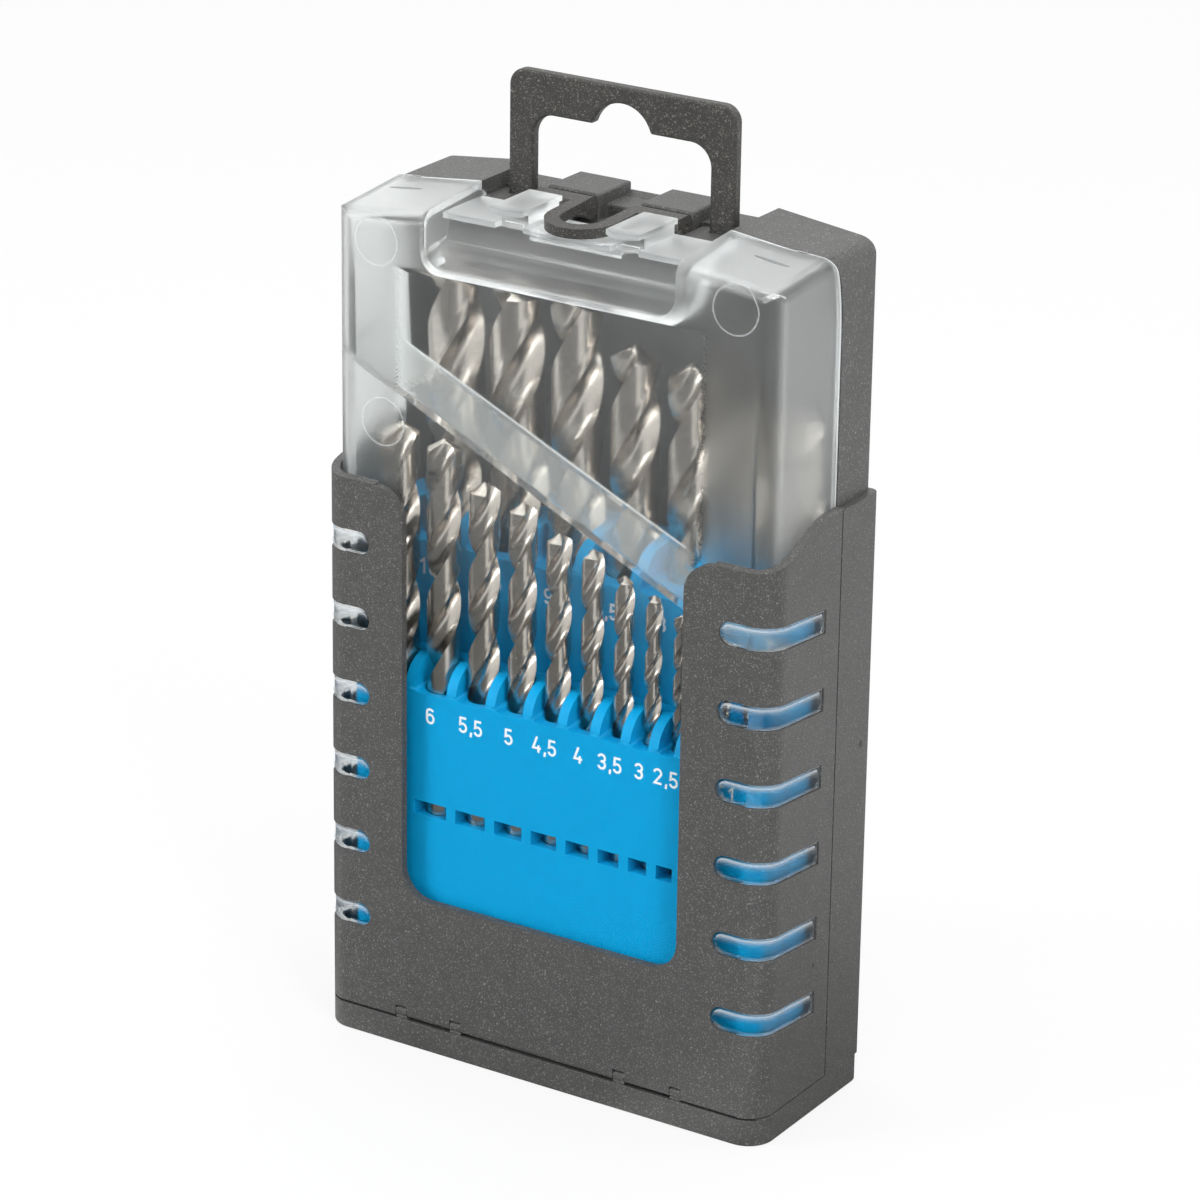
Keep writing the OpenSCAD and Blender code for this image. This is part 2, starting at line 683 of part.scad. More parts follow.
module hanger_outline() {
  r = 3;
  corner = 4;
  bottom = deck_z - deck_t - 0.2;
  difference() {
    union() {
      translate([-hang_half, bottom]) square([2 * hang_half, hang_z - r - bottom]);
      translate([r - hang_half, hang_z - 2 * r]) square([2 * (hang_half - r), 2 * r]);
      for (s = [-1, 1]) translate([s * (hang_half - r), hang_z - r]) circle(r);
    }
    translate([-hang_in, bottom - 1]) square([2 * hang_in, hang_window - corner - bottom + 1]);
    translate([corner - hang_in, hang_window - 2 * corner]) square([2 * (hang_in - corner), 2 * corner]);
    for (s = [-1, 1]) translate([s * (hang_in - corner), hang_window - corner]) circle(corner);
    translate([0, hang_window - 1.6]) circle(arch_r);
  }
}

module hanger() color("#4f4e4c") centred() {
  stem_top = deck_z - deck_t - 0.2;
  along_y(hang_y, hang_y + hang_t) hanger_outline();
  both_sides() {
    box([hang_half - stem_w, hang_half], [hang_y + stem_front, hang_y + hang_t],
      [deck_z - leg_depth + 3.5, stem_top + eps]);
    box([hang_half - stem_w, hang_half + lug], [hang_y + stem_front, hang_y + hang_t],
      [stem_top - 2, stem_top]);
  }
}

// ---- racks ----

// side outline: round below about the pivot, webs rounded back to the top
module rack_outline(y0, t, pivot_z, lip) intersection() {
  union() {
    translate([y0 + t / 2, pivot_z]) circle(t / 2);
    translate([y0, pivot_z]) square([t, lip - pivot_z]);
    translate([y0 + web_rise, lip]) circle(web_rise);
    translate([y0 + web_rise, lip - 1]) square([t, web_rise + 1]);
  }
  translate([y0, 0]) square([t, far]);
}

module rack(y0, t, pivot_z, lip, first, x0, gap, n, floors, axis_y) difference() {
  union() {
    along_x(-neck_half, neck_half) rack_outline(y0, t, pivot_z, lip);
    intersection() {
      along_x(-rack_half, rack_half) rack_outline(y0, t, pivot_z, lip);
      translate([0, 0, neck_top]) linear_extrude(far) plan(rack_half, y0, y0 + t, rack_corner, 1);
    }
    rod_x(-rack_half + 0.4, rack_half - 0.4, y0 + t / 2, pivot_z, trunnion_r);
  }
  for (i = [0 : n - 1]) {
    d = bit_d(first, i);
    half = (d + notch_extra) / 2;
    translate([bit_x(first, -x0, gap, i), 0, 0]) {
      translate([0, axis_y, floors[i]]) cylinder(d = d + 2 * pocket_gap, h = far);
      // the mouth in front of the bit, open at the top
      along_y(-1, axis_y) {
        translate([-half, lip + min(half, 1)]) square([2 * half, far]);
        translate([min(half, 1) - half, lip]) square([max(2 * half - 2, 0.2), far]);
        for (s = [-1, 1])
          translate([s * (half - min(half, 1)), lip + min(half, 1)]) circle(min(half, 1));
      }
    }
  }
}

module front_rack() color("#009fdc") centred() difference() {
  rack(front_rack_y, front_rack_t, front_pivot_z, front_lip_z,
    front_first_d, front_first_x, front_gap, front_n, FRONT_FLOOR, front_axis_y);
  for (i = [0 : front_n - 1]) {
    half = (bit_d(front_first_d, i) + notch_extra) / 2;
    translate([bit_x(front_first_d, -front_first_x, front_gap, i), 0, 0])
      if (FRONT_FLOOR[i] < peep_z - peep_h / 2)
        box([-half, half], [-1, front_axis_y], [peep_z - peep_h / 2, peep_z + peep_h / 2]);
  }
}

module rear_rack() color("#009fdc") centred()
  rack(rear_rack_y, rear_rack_t, rear_pivot_z, rear_lip_z,
    rear_first_d, rear_first_x, rear_gap, rear_n, REAR_FLOOR, rear_axis_y);

// ---- bits ----

// one ring of the fluted part: two lands and two round flutes, turned and scaled
function flute_ring(d, z, turn, s) = let (r = d / 2 - land_relief, web = 0.28 * r)
  [for (k = [0 : flute_sides - 1]) let (a = k * 360 / flute_sides, c = abs(cos(a)),
    q = s * (c > 0.8 ? r : web + (r - web) * c * c)) [q * cos(a + turn), q * sin(a + turn), z]];

// the fluted part and its point, from just inside the shank
module fluted(d, flute) {
  n = flute_sides;
  point = d / 2 / tan(point_angle / 2);
  turns = flute * tan(helix) / (PI * d);
  steps = ceil(turns * flute_rings);
  start = -0.4 * flute / steps;
  heights = [for (i = [0 : steps - 1]) start + (flute - point - start) * i / (steps - 1)];
  rings = concat([for (z = heights) flute_ring(d, z, 360 * turns * z / flute, 1)],
    [flute_ring(d, flute, 360 * turns, chisel)]);
  last = len(rings) - 1;
  points = concat([for (ring = rings) each ring], [[0, 0, start], [0, 0, flute]]);
  sides = [for (i = [0 : last - 1], j = [0 : n - 1]) let (a = i * n + j, b = i * n + (j + 1) % n)
    each [[a, b + n, b], [a, a + n, b + n]]];
  ends = [for (j = [0 : n - 1]) let (k = (j + 1) % n)
    each [[j, k, (last + 1) * n], [last * n + k, last * n + j, (last + 1) * n + 1]]];
  polyhedron(points, concat(sides, ends));
}

module drill_bit(d) {
  flute = lookup(d, BIT_FLUTE);
  shank = lookup(d, BIT_LENGTH) - flute;
  cylinder(d = d, h = shank);
  translate([0, 0, shank]) fluted(d, flute);
}

module front_bit(i) color("#b3aca4") centred()
  translate([bit_x(front_first_d, -front_first_x, front_gap, i), front_axis_y, FRONT_FLOOR[i]])
    drill_bit(bit_d(front_first_d, i));

module rear_bit(i) color("#b3aca4") centred()
  translate([bit_x(rear_first_d, -rear_first_x, rear_gap, i), rear_axis_y, REAR_FLOOR[i]])
    drill_bit(bit_d(rear_first_d, i));

base_tray();
rear_shell();
front_frame();
clear_cover();
hinge_pin();
latch_flap();
latch_pins();
hanger();
front_rack();
rear_rack();
rear_bit(0);  // bit_10_0
rear_bit(1);  // bit_09_5
rear_bit(2);  // bit_09_0
rear_bit(3);  // bit_08_5
rear_bit(4);  // bit_08_0
rear_bit(5);  // bit_07_5
rear_bit(6);  // bit_07_0
front_bit(0);  // bit_06_5
front_bit(1);  // bit_06_0
front_bit(2);  // bit_05_5
front_bit(3);  // bit_05_0
front_bit(4);  // bit_04_5
front_bit(5);  // bit_04_0
front_bit(6);  // bit_03_5
front_bit(7);  // bit_03_0
front_bit(8);  // bit_02_5
front_bit(9);  // bit_02_0
front_bit(10);  // bit_01_5
front_bit(11);  // bit_01_0
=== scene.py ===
"""Looks of a hinged drill bit case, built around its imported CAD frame."""

from __future__ import annotations

import logging
import math
from dataclasses import dataclass, field
from enum import Enum
from typing import Callable, Sequence

import bmesh
import bpy
import numpy as np
from mathutils import Matrix, Vector
from mathutils.bvhtree import BVHTree

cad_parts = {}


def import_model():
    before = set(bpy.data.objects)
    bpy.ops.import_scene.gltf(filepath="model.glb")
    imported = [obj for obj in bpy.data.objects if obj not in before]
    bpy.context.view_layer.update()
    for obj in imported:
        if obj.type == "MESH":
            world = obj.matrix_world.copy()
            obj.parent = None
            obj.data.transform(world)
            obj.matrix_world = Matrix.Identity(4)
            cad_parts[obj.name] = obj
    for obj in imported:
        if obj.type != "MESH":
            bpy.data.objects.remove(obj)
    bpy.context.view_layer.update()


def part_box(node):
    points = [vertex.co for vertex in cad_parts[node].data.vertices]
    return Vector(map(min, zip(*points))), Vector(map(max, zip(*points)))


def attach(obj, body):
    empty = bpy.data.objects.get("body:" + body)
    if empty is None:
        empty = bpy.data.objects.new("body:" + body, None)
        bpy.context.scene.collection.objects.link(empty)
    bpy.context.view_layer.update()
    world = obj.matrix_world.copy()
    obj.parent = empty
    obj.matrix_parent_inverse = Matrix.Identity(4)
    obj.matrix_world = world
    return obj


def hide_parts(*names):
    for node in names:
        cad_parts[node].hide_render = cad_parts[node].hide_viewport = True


LOG = logging.getLogger("drill_bit_case")
Array = np.ndarray
EdgeRule = Callable[[Array], Array]
MM = 0.001
# doubles nearer than the first, in metres, are merged, faces that turn less than
# the second, in degrees, are joined, and edges that turn more than the third are
# rounded
MERGE_GAP = 2e-6
FLAT_TURN = 0.4
SHARP_TURN = 35
# how far a bevelled point may lie off the surface, and how far round it the
# edges are narrowed, in bevel radii; and what share of their width they keep
MOST_OFF = 0.4
NARROWED_ROUND = 1.2
WIDTH_KEPT = 0.45
TRIES_BEFORE_SHARP = 3
# a bevelled face larger than the first, in square metres, counts as turned over
# where the cosine between its normal and the surface's is below the second
TINY_FACE = 1e-9
TURNED_OVER = -0.3


def linear(srgb: Sequence[float]) -> tuple[float, float, float, float]:
    """Linear colour of an sRGB colour, by the standard's curve of two parts.

    Args:
        srgb: Red, green and blue in 0 to 255.

    Returns:
        Red, green, blue and an alpha of 1, in 0 to 1.
    """
    c = np.asarray(srgb, float) / 255
    low, high = c / 12.92, ((c + 0.055) / 1.055) ** 2.4
    return (*np.where(c <= 0.04045, low, high).tolist(), 1.0)


class Body(Enum):
    """The bodies of the case that pieces ride on."""

    CASE = "case"
    LID = "lid"
    LATCH = "latch"
    HANGER = "hanger"
    FRONT_RACK = "front_rack"
    REAR_RACK = "rear_rack"


# ---- meshes ----


def mesh_object(name: str, points: Array, faces: Array | list) -> bpy.types.Object:
    """Makes an object of points in metres and faces of point numbers.

    Args:
        name: Name of the object.
        points: Array of shape (n, 3).
        faces: Array of shape (m, k), or a list of faces.

    Returns:
        The object, linked to the scene, at the origin.
    """
    listed = faces.tolist() if isinstance(faces, np.ndarray) else faces
    mesh = bpy.data.meshes.new(name)
    mesh.from_pydata(np.asarray(points, float).tolist(), [], listed)
    mesh.validate()
    made = bpy.data.objects.new(name, mesh)
    bpy.context.scene.collection.objects.link(made)
    return made


def grid_faces(rows: int, columns: int, closed: bool) -> Array:
    """Quads of a grid of rows by columns points, numbered row by row.

    Args:
        rows: Number of rings or rows.
        columns: Number of points in each row.
        closed: Whether the last column joins the first.

    Returns:
        Array of shape (n, 4); with rows going up and columns going
        anticlockwise from above, the quads face outwards.
    """
    row, column = np.meshgrid(np.arange(rows - 1), np.arange(columns if closed else columns - 1),
                              indexing="ij")
    after = (column + 1) % columns
    corners = (row * columns + column, row * columns + after,
               (row + 1) * columns + after, (row + 1) * columns + column)
    return np.stack([c.ravel() for c in corners], axis=1)


def shade(piece: bpy.types.Object, angle: float = 30) -> None:
    """Shades a piece smooth, apart from edges sharper than the angle in degrees."""
    piece.data.shade_smooth()
    piece.data.set_sharp_from_angle(angle=math.radians(angle))


def points_of(mesh: bpy.types.Mesh) -> Array:
    """Vertex places of a mesh.

    Args:
        mesh: The mesh.

    Returns:
        Array of shape (n, 3), in metres.
    """
    places = np.empty(len(mesh.vertices) * 3)
    mesh.vertices.foreach_get("co", places)
    return places.reshape(-1, 3)


def surface_tree(mesh: bpy.types.Mesh) -> BVHTree:
    """Search tree over a mesh's faces."""
    return BVHTree.FromPolygons(points_of(mesh).tolist(), [tuple(f.vertices) for f in mesh.polygons])


def softened_copy(node: str, radius: float, rule: EdgeRule | None = None,
                  segments: int = 2) -> bpy.types.Object:
    """Copies a CAD node and rounds its sharp edges with a live bevel.

    Args:
        node: Name of the CAD node, which the copy stands for.
        radius: Largest edge radius in metres.
        rule: Gives each edge's share of that radius from edge middles (n, 3)
            in millimetres; all edges get the whole radius without it.
        segments: Faces across one rounded edge.

    Returns:
        The copy, with its doubles merged and its flat faces joined.
    """
    source = bpy.data.objects[node]
    data = bmesh.new()
    data.from_mesh(source.data)
    bmesh.ops.remove_doubles(data, verts=data.verts, dist=MERGE_GAP)
    bmesh.ops.dissolve_limit(data, angle_limit=math.radians(FLAT_TURN), verts=data.verts,
                             edges=data.edges, delimit=set())
    mesh = bpy.data.meshes.new(f"{node}_skin")
    data.to_mesh(mesh)
    data.free()
    mesh.materials.clear()
    made = bpy.data.objects.new(f"{node}_skin", mesh)
    bpy.context.scene.collection.objects.link(made)
    weigh_edges(mesh, rule)
    bevel = made.modifiers.new("rounded edges", "BEVEL")
    bevel.limit_method = "WEIGHT"
    bevel.width = radius
    bevel.segments = segments
    bevel.use_clamp_overlap = False
    bevel.miter_outer = "MITER_SHARP"
    shade(made)
    ease_edges(made, radius)
    smooth = made.modifiers.new("flat faces", "WEIGHTED_NORMAL")
    smooth.keep_sharp = True
    return made


def weigh_edges(mesh: bpy.types.Mesh, rule: EdgeRule | None) -> None:
    """Gives each sharp edge its bevel weight.

    Args:
        mesh: Mesh that gets the weights.
        rule: Gives each edge's weight; without it all weights are 1.
    """
    data = bmesh.new()
    data.from_mesh(mesh)
    turned = np.array([e.calc_face_angle(0.0) if len(e.link_faces) == 2 else 0.0
                       for e in data.edges])
    data.free()
    middles = points_of(mesh)[edge_ends(mesh)].mean(axis=1) / MM
    weights = np.where(turned > math.radians(SHARP_TURN), 1.0 if rule is None else rule(middles), 0.0)
    made = mesh.attributes.new("bevel_weight_edge", "FLOAT", "EDGE")
    made.data.foreach_set("value", weights.astype(np.float32))


def edge_ends(mesh: bpy.types.Mesh) -> Array:
    """Ends of a mesh's edges.

    Args:
        mesh: The mesh.

    Returns:
        Vertex numbers, of shape (n, 2).
    """
    ends = np.empty(len(mesh.edges) * 2, np.int64)
    mesh.edges.foreach_get("vertices", ends)
    return ends.reshape(-1, 2)


def ease_edges(piece: bpy.types.Object, radius: float, rounds: int = 8) -> None:
    """Narrows the bevel where it leaves the surface that it rounds.

    Where a point of the bevelled skin is too far off the sharp surface, or a
    face is turned over, the edges round about get less width, and none after
    a few tries.

    Args:
        piece: Object whose only modifier is the bevel.
        radius: Width of that bevel in metres.
        rounds: Most tries.
    """
    mesh = piece.data
    tree = surface_tree(mesh)
    ends, places = edge_ends(mesh), points_of(mesh)
    weights = np.empty(len(ends), np.float32)
    layer = mesh.attributes["bevel_weight_edge"].data
    layer.foreach_get("value", weights)
    for step in range(rounds):
        shown = piece.evaluated_get(bpy.context.evaluated_depsgraph_get())
        skin = shown.to_mesh()
        points = points_of(skin)
        off = np.array([tree.find_nearest(Vector(p))[3] > MOST_OFF * radius for p in points])
        for face in skin.polygons:
            _, normal, _, _ = tree.find_nearest(face.center)
            if face.area > TINY_FACE and normal.dot(face.normal) < TURNED_OVER:
                off[list(face.vertices)] = True
        roots = [points[v] for face in skin.polygons if off[list(face.vertices)].any()
                 for v in face.vertices if not off[v]]
        roots += [np.array(tree.find_nearest(Vector(p))[0]) for p in points[off]]
        shown.to_mesh_clear()
        if not off.any():
            break
        roots = np.unique(np.round(np.array(roots) / MM, 2), axis=0) * MM
        near = np.zeros(len(places), bool)
        for part in np.array_split(roots, max(1, len(roots) // 200)):
            gaps = np.linalg.norm(places[:, None] - part[None], axis=2)
            near |= (gaps < NARROWED_ROUND * radius).any(axis=1)
        hit = near[ends].any(axis=1)
        weights[hit] *= WIDTH_KEPT if step < TRIES_BEFORE_SHARP else 0.0
        layer.foreach_set("value", weights)
        mesh.update()
        piece.update_tag()
    LOG.info("%s: %d tries of its rounded edges, %d points off", piece.name, step + 1, off.sum())


def sweep(rings: Array, ring_closed: bool) -> tuple[Array, list]:
    """Joins rings of points, one after the other, into one closed surface.

    Args:
        rings: Array of shape (rows, columns, 3).
        ring_closed: Whether the last row joins the first; otherwise both
            end rows become faces.

    Returns:
        Points and faces.
    """
    rows, columns = rings.shape[:2]
    faces = grid_faces(rows, columns, True).tolist()
    last = (rows - 1) * columns
    if ring_closed:
        faces += [[last + i, last + (i + 1) % columns, (i + 1) % columns, i] for i in range(columns)]
    else:
        faces += [list(range(columns))[::-1], [last + i for i in range(columns)]]
    return rings.reshape(-1, 3), faces


def joined(parts: Sequence[tuple[Array, list]]) -> tuple[Array, list]:
    """Puts several surfaces together.

    Args:
        parts: Points and faces of each.

    Returns:
        Points and faces of all.
    """
    points, faces, count = [], [], 0
    for some, own in parts:
        faces += [[count + v for v in face] for face in own]
        points.append(some)
        count += len(some)
    return np.concatenate(points), faces


def ring_angles(count: int) -> Array:
    """Angles in radians of so many points evenly round a closed ring."""
    return np.linspace(0, 2 * np.pi, count, endpoint=False)


def face_outwards(piece: bpy.types.Object) -> None:
    """Turns a piece's faces outwards.

    Args:
        piece: The piece, each part of which is closed.
    """
    data = bmesh.new()
    data.from_mesh(piece.data)
    bmesh.ops.recalc_face_normals(data, faces=data.faces)
    data.to_mesh(piece.data)
    data.free()


# ---- finishes ----
#
# Colours are in 0 to 255. A noise has its features in a millimetre, its detail
# and its roughness, and a bump its strength and its depth in millimetres.


class NodeBoard:
    """A node tree, with short calls to add and link its nodes."""

    def __init__(self, owner: bpy.types.Material | bpy.types.World) -> None:
        """Empties the tree of its owner.

        Args:
            owner: The material or world that the tree belongs to.
        """
        self.owner = owner
        self.owner.use_nodes = True
        self.tree = self.owner.node_tree
        self.tree.nodes.clear()
        self.coordinates = self.add("ShaderNodeTexCoord").outputs
        self.place = self.coordinates["Object"]

    @classmethod
    def named(cls, name: str) -> NodeBoard:
        """Board of a new material."""
        return cls(bpy.data.materials.new(name))

    def add(self, kind: str, settings: dict | None = None, **inputs) -> bpy.types.Node:
        """Adds a node.

        Args:
            kind: Blender's name of the node type.
            settings: Properties to set on the node.
            inputs: Values or sockets for its inputs, with _ for a space.

        Returns:
            The node.
        """
        node = self.tree.nodes.new(kind)
        for key, value in (settings or {}).items():
            setattr(node, key, value)
        for key, value in inputs.items():
            self.feed(node, key.replace("_", " "), value)
        return node

    def feed(self, node: bpy.types.Node, key: str | int, value: object) -> None:
        """Links a socket to an input of a node, or sets the input's value.

        Args:
            node: The node.
            key: Name or number of its input.
            value: The socket or the value.
        """
        socket = node.inputs[key]
        if isinstance(value, bpy.types.NodeSocket):
            self.tree.links.new(value, socket)
        else:
            socket.default_value = value

    def math(self, operation: str, a: object, b: object = 0.0) -> bpy.types.NodeSocket:
        """Result of a math node.

        Args:
            operation: Blender's name of the operation.
            a: First number or socket.
            b: Second number or socket.

        Returns:
            The result's socket.
        """
        node = self.add("ShaderNodeMath", {"operation": operation})
        self.feed(node, 0, a)
        self.feed(node, 1, b)
        return node.outputs[0]

    def noise(self, per_mm: float, detail: float = 2.0, roughness: float = 0.5) -> bpy.types.NodeSocket:
        """Noise value with so many features in a millimetre."""
        return self.add("ShaderNodeTexNoise", Vector=self.place, Scale=per_mm / MM,
                        Detail=detail, Roughness=roughness).outputs["Fac"]

    def ramp(self, value: bpy.types.NodeSocket, stops: Sequence[tuple]) -> bpy.types.NodeSocket:
        """Colour ramp over a value.

        Args:
            value: The value.
            stops: Position and colour of each stop.

        Returns:
            The colour's socket.
        """
        node = self.add("ShaderNodeValToRGB", Fac=value)
        elements = node.color_ramp.elements
        while len(elements) < len(stops):
            elements.new(1.0)
        for element, (position, colour) in zip(elements, stops):
            element.position = position
            element.color = colour
        return node.outputs["Color"]

    def cloudy(self, tone: bpy.types.NodeSocket, colour: Sequence[float],
               swing: float | Sequence[float]) -> bpy.types.NodeSocket:
        """Colour that a tone makes darker and lighter.

        Args:
            tone: Noise value.
            colour: Middle colour in 0 to 255.
            swing: Most that the colour, or each part of it, moves either way.

        Returns:
            The colour's socket.
        """
        middle, swing = np.array(colour), np.array(swing)
        return self.ramp(tone, [(0.3, linear(middle - swing)), (0.7, linear(middle + swing))])

    def axes_of(self, vector: bpy.types.NodeSocket) -> bpy.types.bpy_prop_collection:
        """Sockets of a vector's X, Y and Z."""
        return self.add("ShaderNodeSeparateXYZ", Vector=vector).outputs

    def spread(self, value: object, low: object, high: object, start: float = 0.0,
               end: float = 1.0) -> bpy.types.NodeSocket:
        """Value from start to end, mapped straight onto low to high."""
        return self.add("ShaderNodeMapRange", Value=value, From_Min=start, From_Max=end,
                        To_Min=low, To_Max=high).outputs["Result"]

    def blend(self, share: object, first: object, second: object) -> bpy.types.NodeSocket:
        """Colour that goes from the first to the second as the share goes to 1.

        Args:
            share: The share.
            first: Colour for a share of 0.
            second: Colour for a share of 1.

        Returns:
            The colour's socket.
        """
        node = self.add("ShaderNodeMix", {"data_type": "RGBA"})
        self.feed(node, "Factor", share)
        self.feed(node, 6, first)
        self.feed(node, 7, second)
        return node.outputs[2]

    def mixed(self, share: object, first: bpy.types.Node,
              second: bpy.types.Node) -> bpy.types.Node:
        """Shader that goes from the first to the second as the share goes to 1.

        Args:
            share: The share.
            first: Shader for a share of 0.
            second: Shader for a share of 1.

        Returns:
            The node that mixes them.
        """
        node = self.add("ShaderNodeMixShader", Fac=share)
        self.feed(node, 1, first.outputs[0])
        self.feed(node, 2, second.outputs[0])
        return node

    def band(self, value: object, start: float, end: float) -> bpy.types.NodeSocket:
        """Smooth step from 0 at start to 1 at end."""
        node = self.add("ShaderNodeMapRange", {"interpolation_type": "SMOOTHSTEP"},
                        Value=value, From_Min=start, From_Max=end)
        return node.outputs["Result"]

    def bump(self, height: bpy.types.NodeSocket, strength: float,
             depth: float) -> bpy.types.NodeSocket:
        """Bumped normal of a height, so many millimetres deep."""
        return self.add("ShaderNodeBump", Height=height, Strength=strength,
                        Distance=depth * MM).outputs["Normal"]

    def show(self, shader: bpy.types.Node,
             output: str = "ShaderNodeOutputMaterial") -> bpy.types.Material | bpy.types.World:
        """Links the shader to a new output and returns the board's owner."""
        self.add(output, Surface=shader.outputs[0])
        return self.owner


@dataclass(frozen=True)
class GrainedPlastic:
    """Dark moulded plastic with a fine spark-eroded grain and pale specks.

    A field of specks has its noise's features in a millimetre, detail and
    roughness, the level where specks start, and their share of their colour.
    A spot has its place and its radius in millimetres.
    """

    name: str = "grained_plastic"
    colour: tuple = (79, 79, 78)
    speck_colour: tuple = (150, 149, 146)
    spot_colour: tuple = (48, 47, 46)
    specks: tuple = ((3.6, 1.0, 0.5, 0.58, 0.45), (1.9, 2.0, 0.7, 0.63, 0.75))
    speck_full: float = 0.7
    spots: tuple = ((45.25, 13.6, 64.6, 0.8), (45.25, -0.2, 28.4, 0.5), (-45.25, 13.6, 64.6, 0.8))
    spot_core: float = 0.6
    tone: tuple = (0.3, 3.0)
    swing: float = 2.5
    grain: tuple = (3.0, 2.0, 0.65)
    dents: tuple = (0.6, 0.08)
    roughness: float = 0.5
    roughness_swing: float = 0.08

    def build(self) -> bpy.types.Material:
        """Grain in bump, a faint cloudy tone, specks where fine noise peaks, and dark spots.

        Each spot is darkest in its middle.

        Returns:
            The material.
        """
        board = NodeBoard.named(self.name)
        base = board.cloudy(board.noise(*self.tone), self.colour, self.swing)
        fields = [board.math("MULTIPLY", board.band(board.noise(*noise), start, self.speck_full),
                             share) for *noise, start, share in self.specks]
        colour = board.blend(board.math("MAXIMUM", *fields), base, linear(self.speck_colour))
        for x, y, z, radius in self.spots:
            apart = board.add("ShaderNodeVectorMath", {"operation": "DISTANCE"})
            board.feed(apart, 0, board.place)
            board.feed(apart, 1, Vector((x, y, z)) * MM)
            share = board.band(apart.outputs["Value"], radius * MM, self.spot_core * radius * MM)
            colour = board.blend(share, colour, linear(self.spot_colour))
        grain = board.noise(*self.grain)
        rough = board.spread(grain, self.roughness - self.roughness_swing,
                             self.roughness + self.roughness_swing)
        return board.show(board.add("ShaderNodeBsdfPrincipled", Base_Color=colour, Roughness=rough,
                                    Normal=board.bump(grain, *self.dents)))


@dataclass(frozen=True)
class RackPlastic:
    """Bright blue rack plastic, nearly smooth, with a very light mottle."""

    name: str = "rack_plastic"
    colour: tuple = (0, 148, 204)
    tone: tuple = (0.9, 3.0)
    swing: tuple = (0, 3, 3)
    grain: tuple = (2.5, 2.0)
    dents: tuple = (0.15, 0.03)
    roughness: float = 0.5
    shine: float = 0.15

    def build(self) -> bpy.types.Material:
        """Blue with a faint mottle of tone and a fine eroded skin.

        Returns:
            The material.
        """
        board = NodeBoard.named(self.name)
        base = board.cloudy(board.noise(*self.tone), self.colour, self.swing)
        skin = board.bump(board.noise(*self.grain), *self.dents)
        return board.show(board.add("ShaderNodeBsdfPrincipled", Base_Color=base, Normal=skin,
                                    Roughness=self.roughness, Specular_IOR_Level=self.shine))


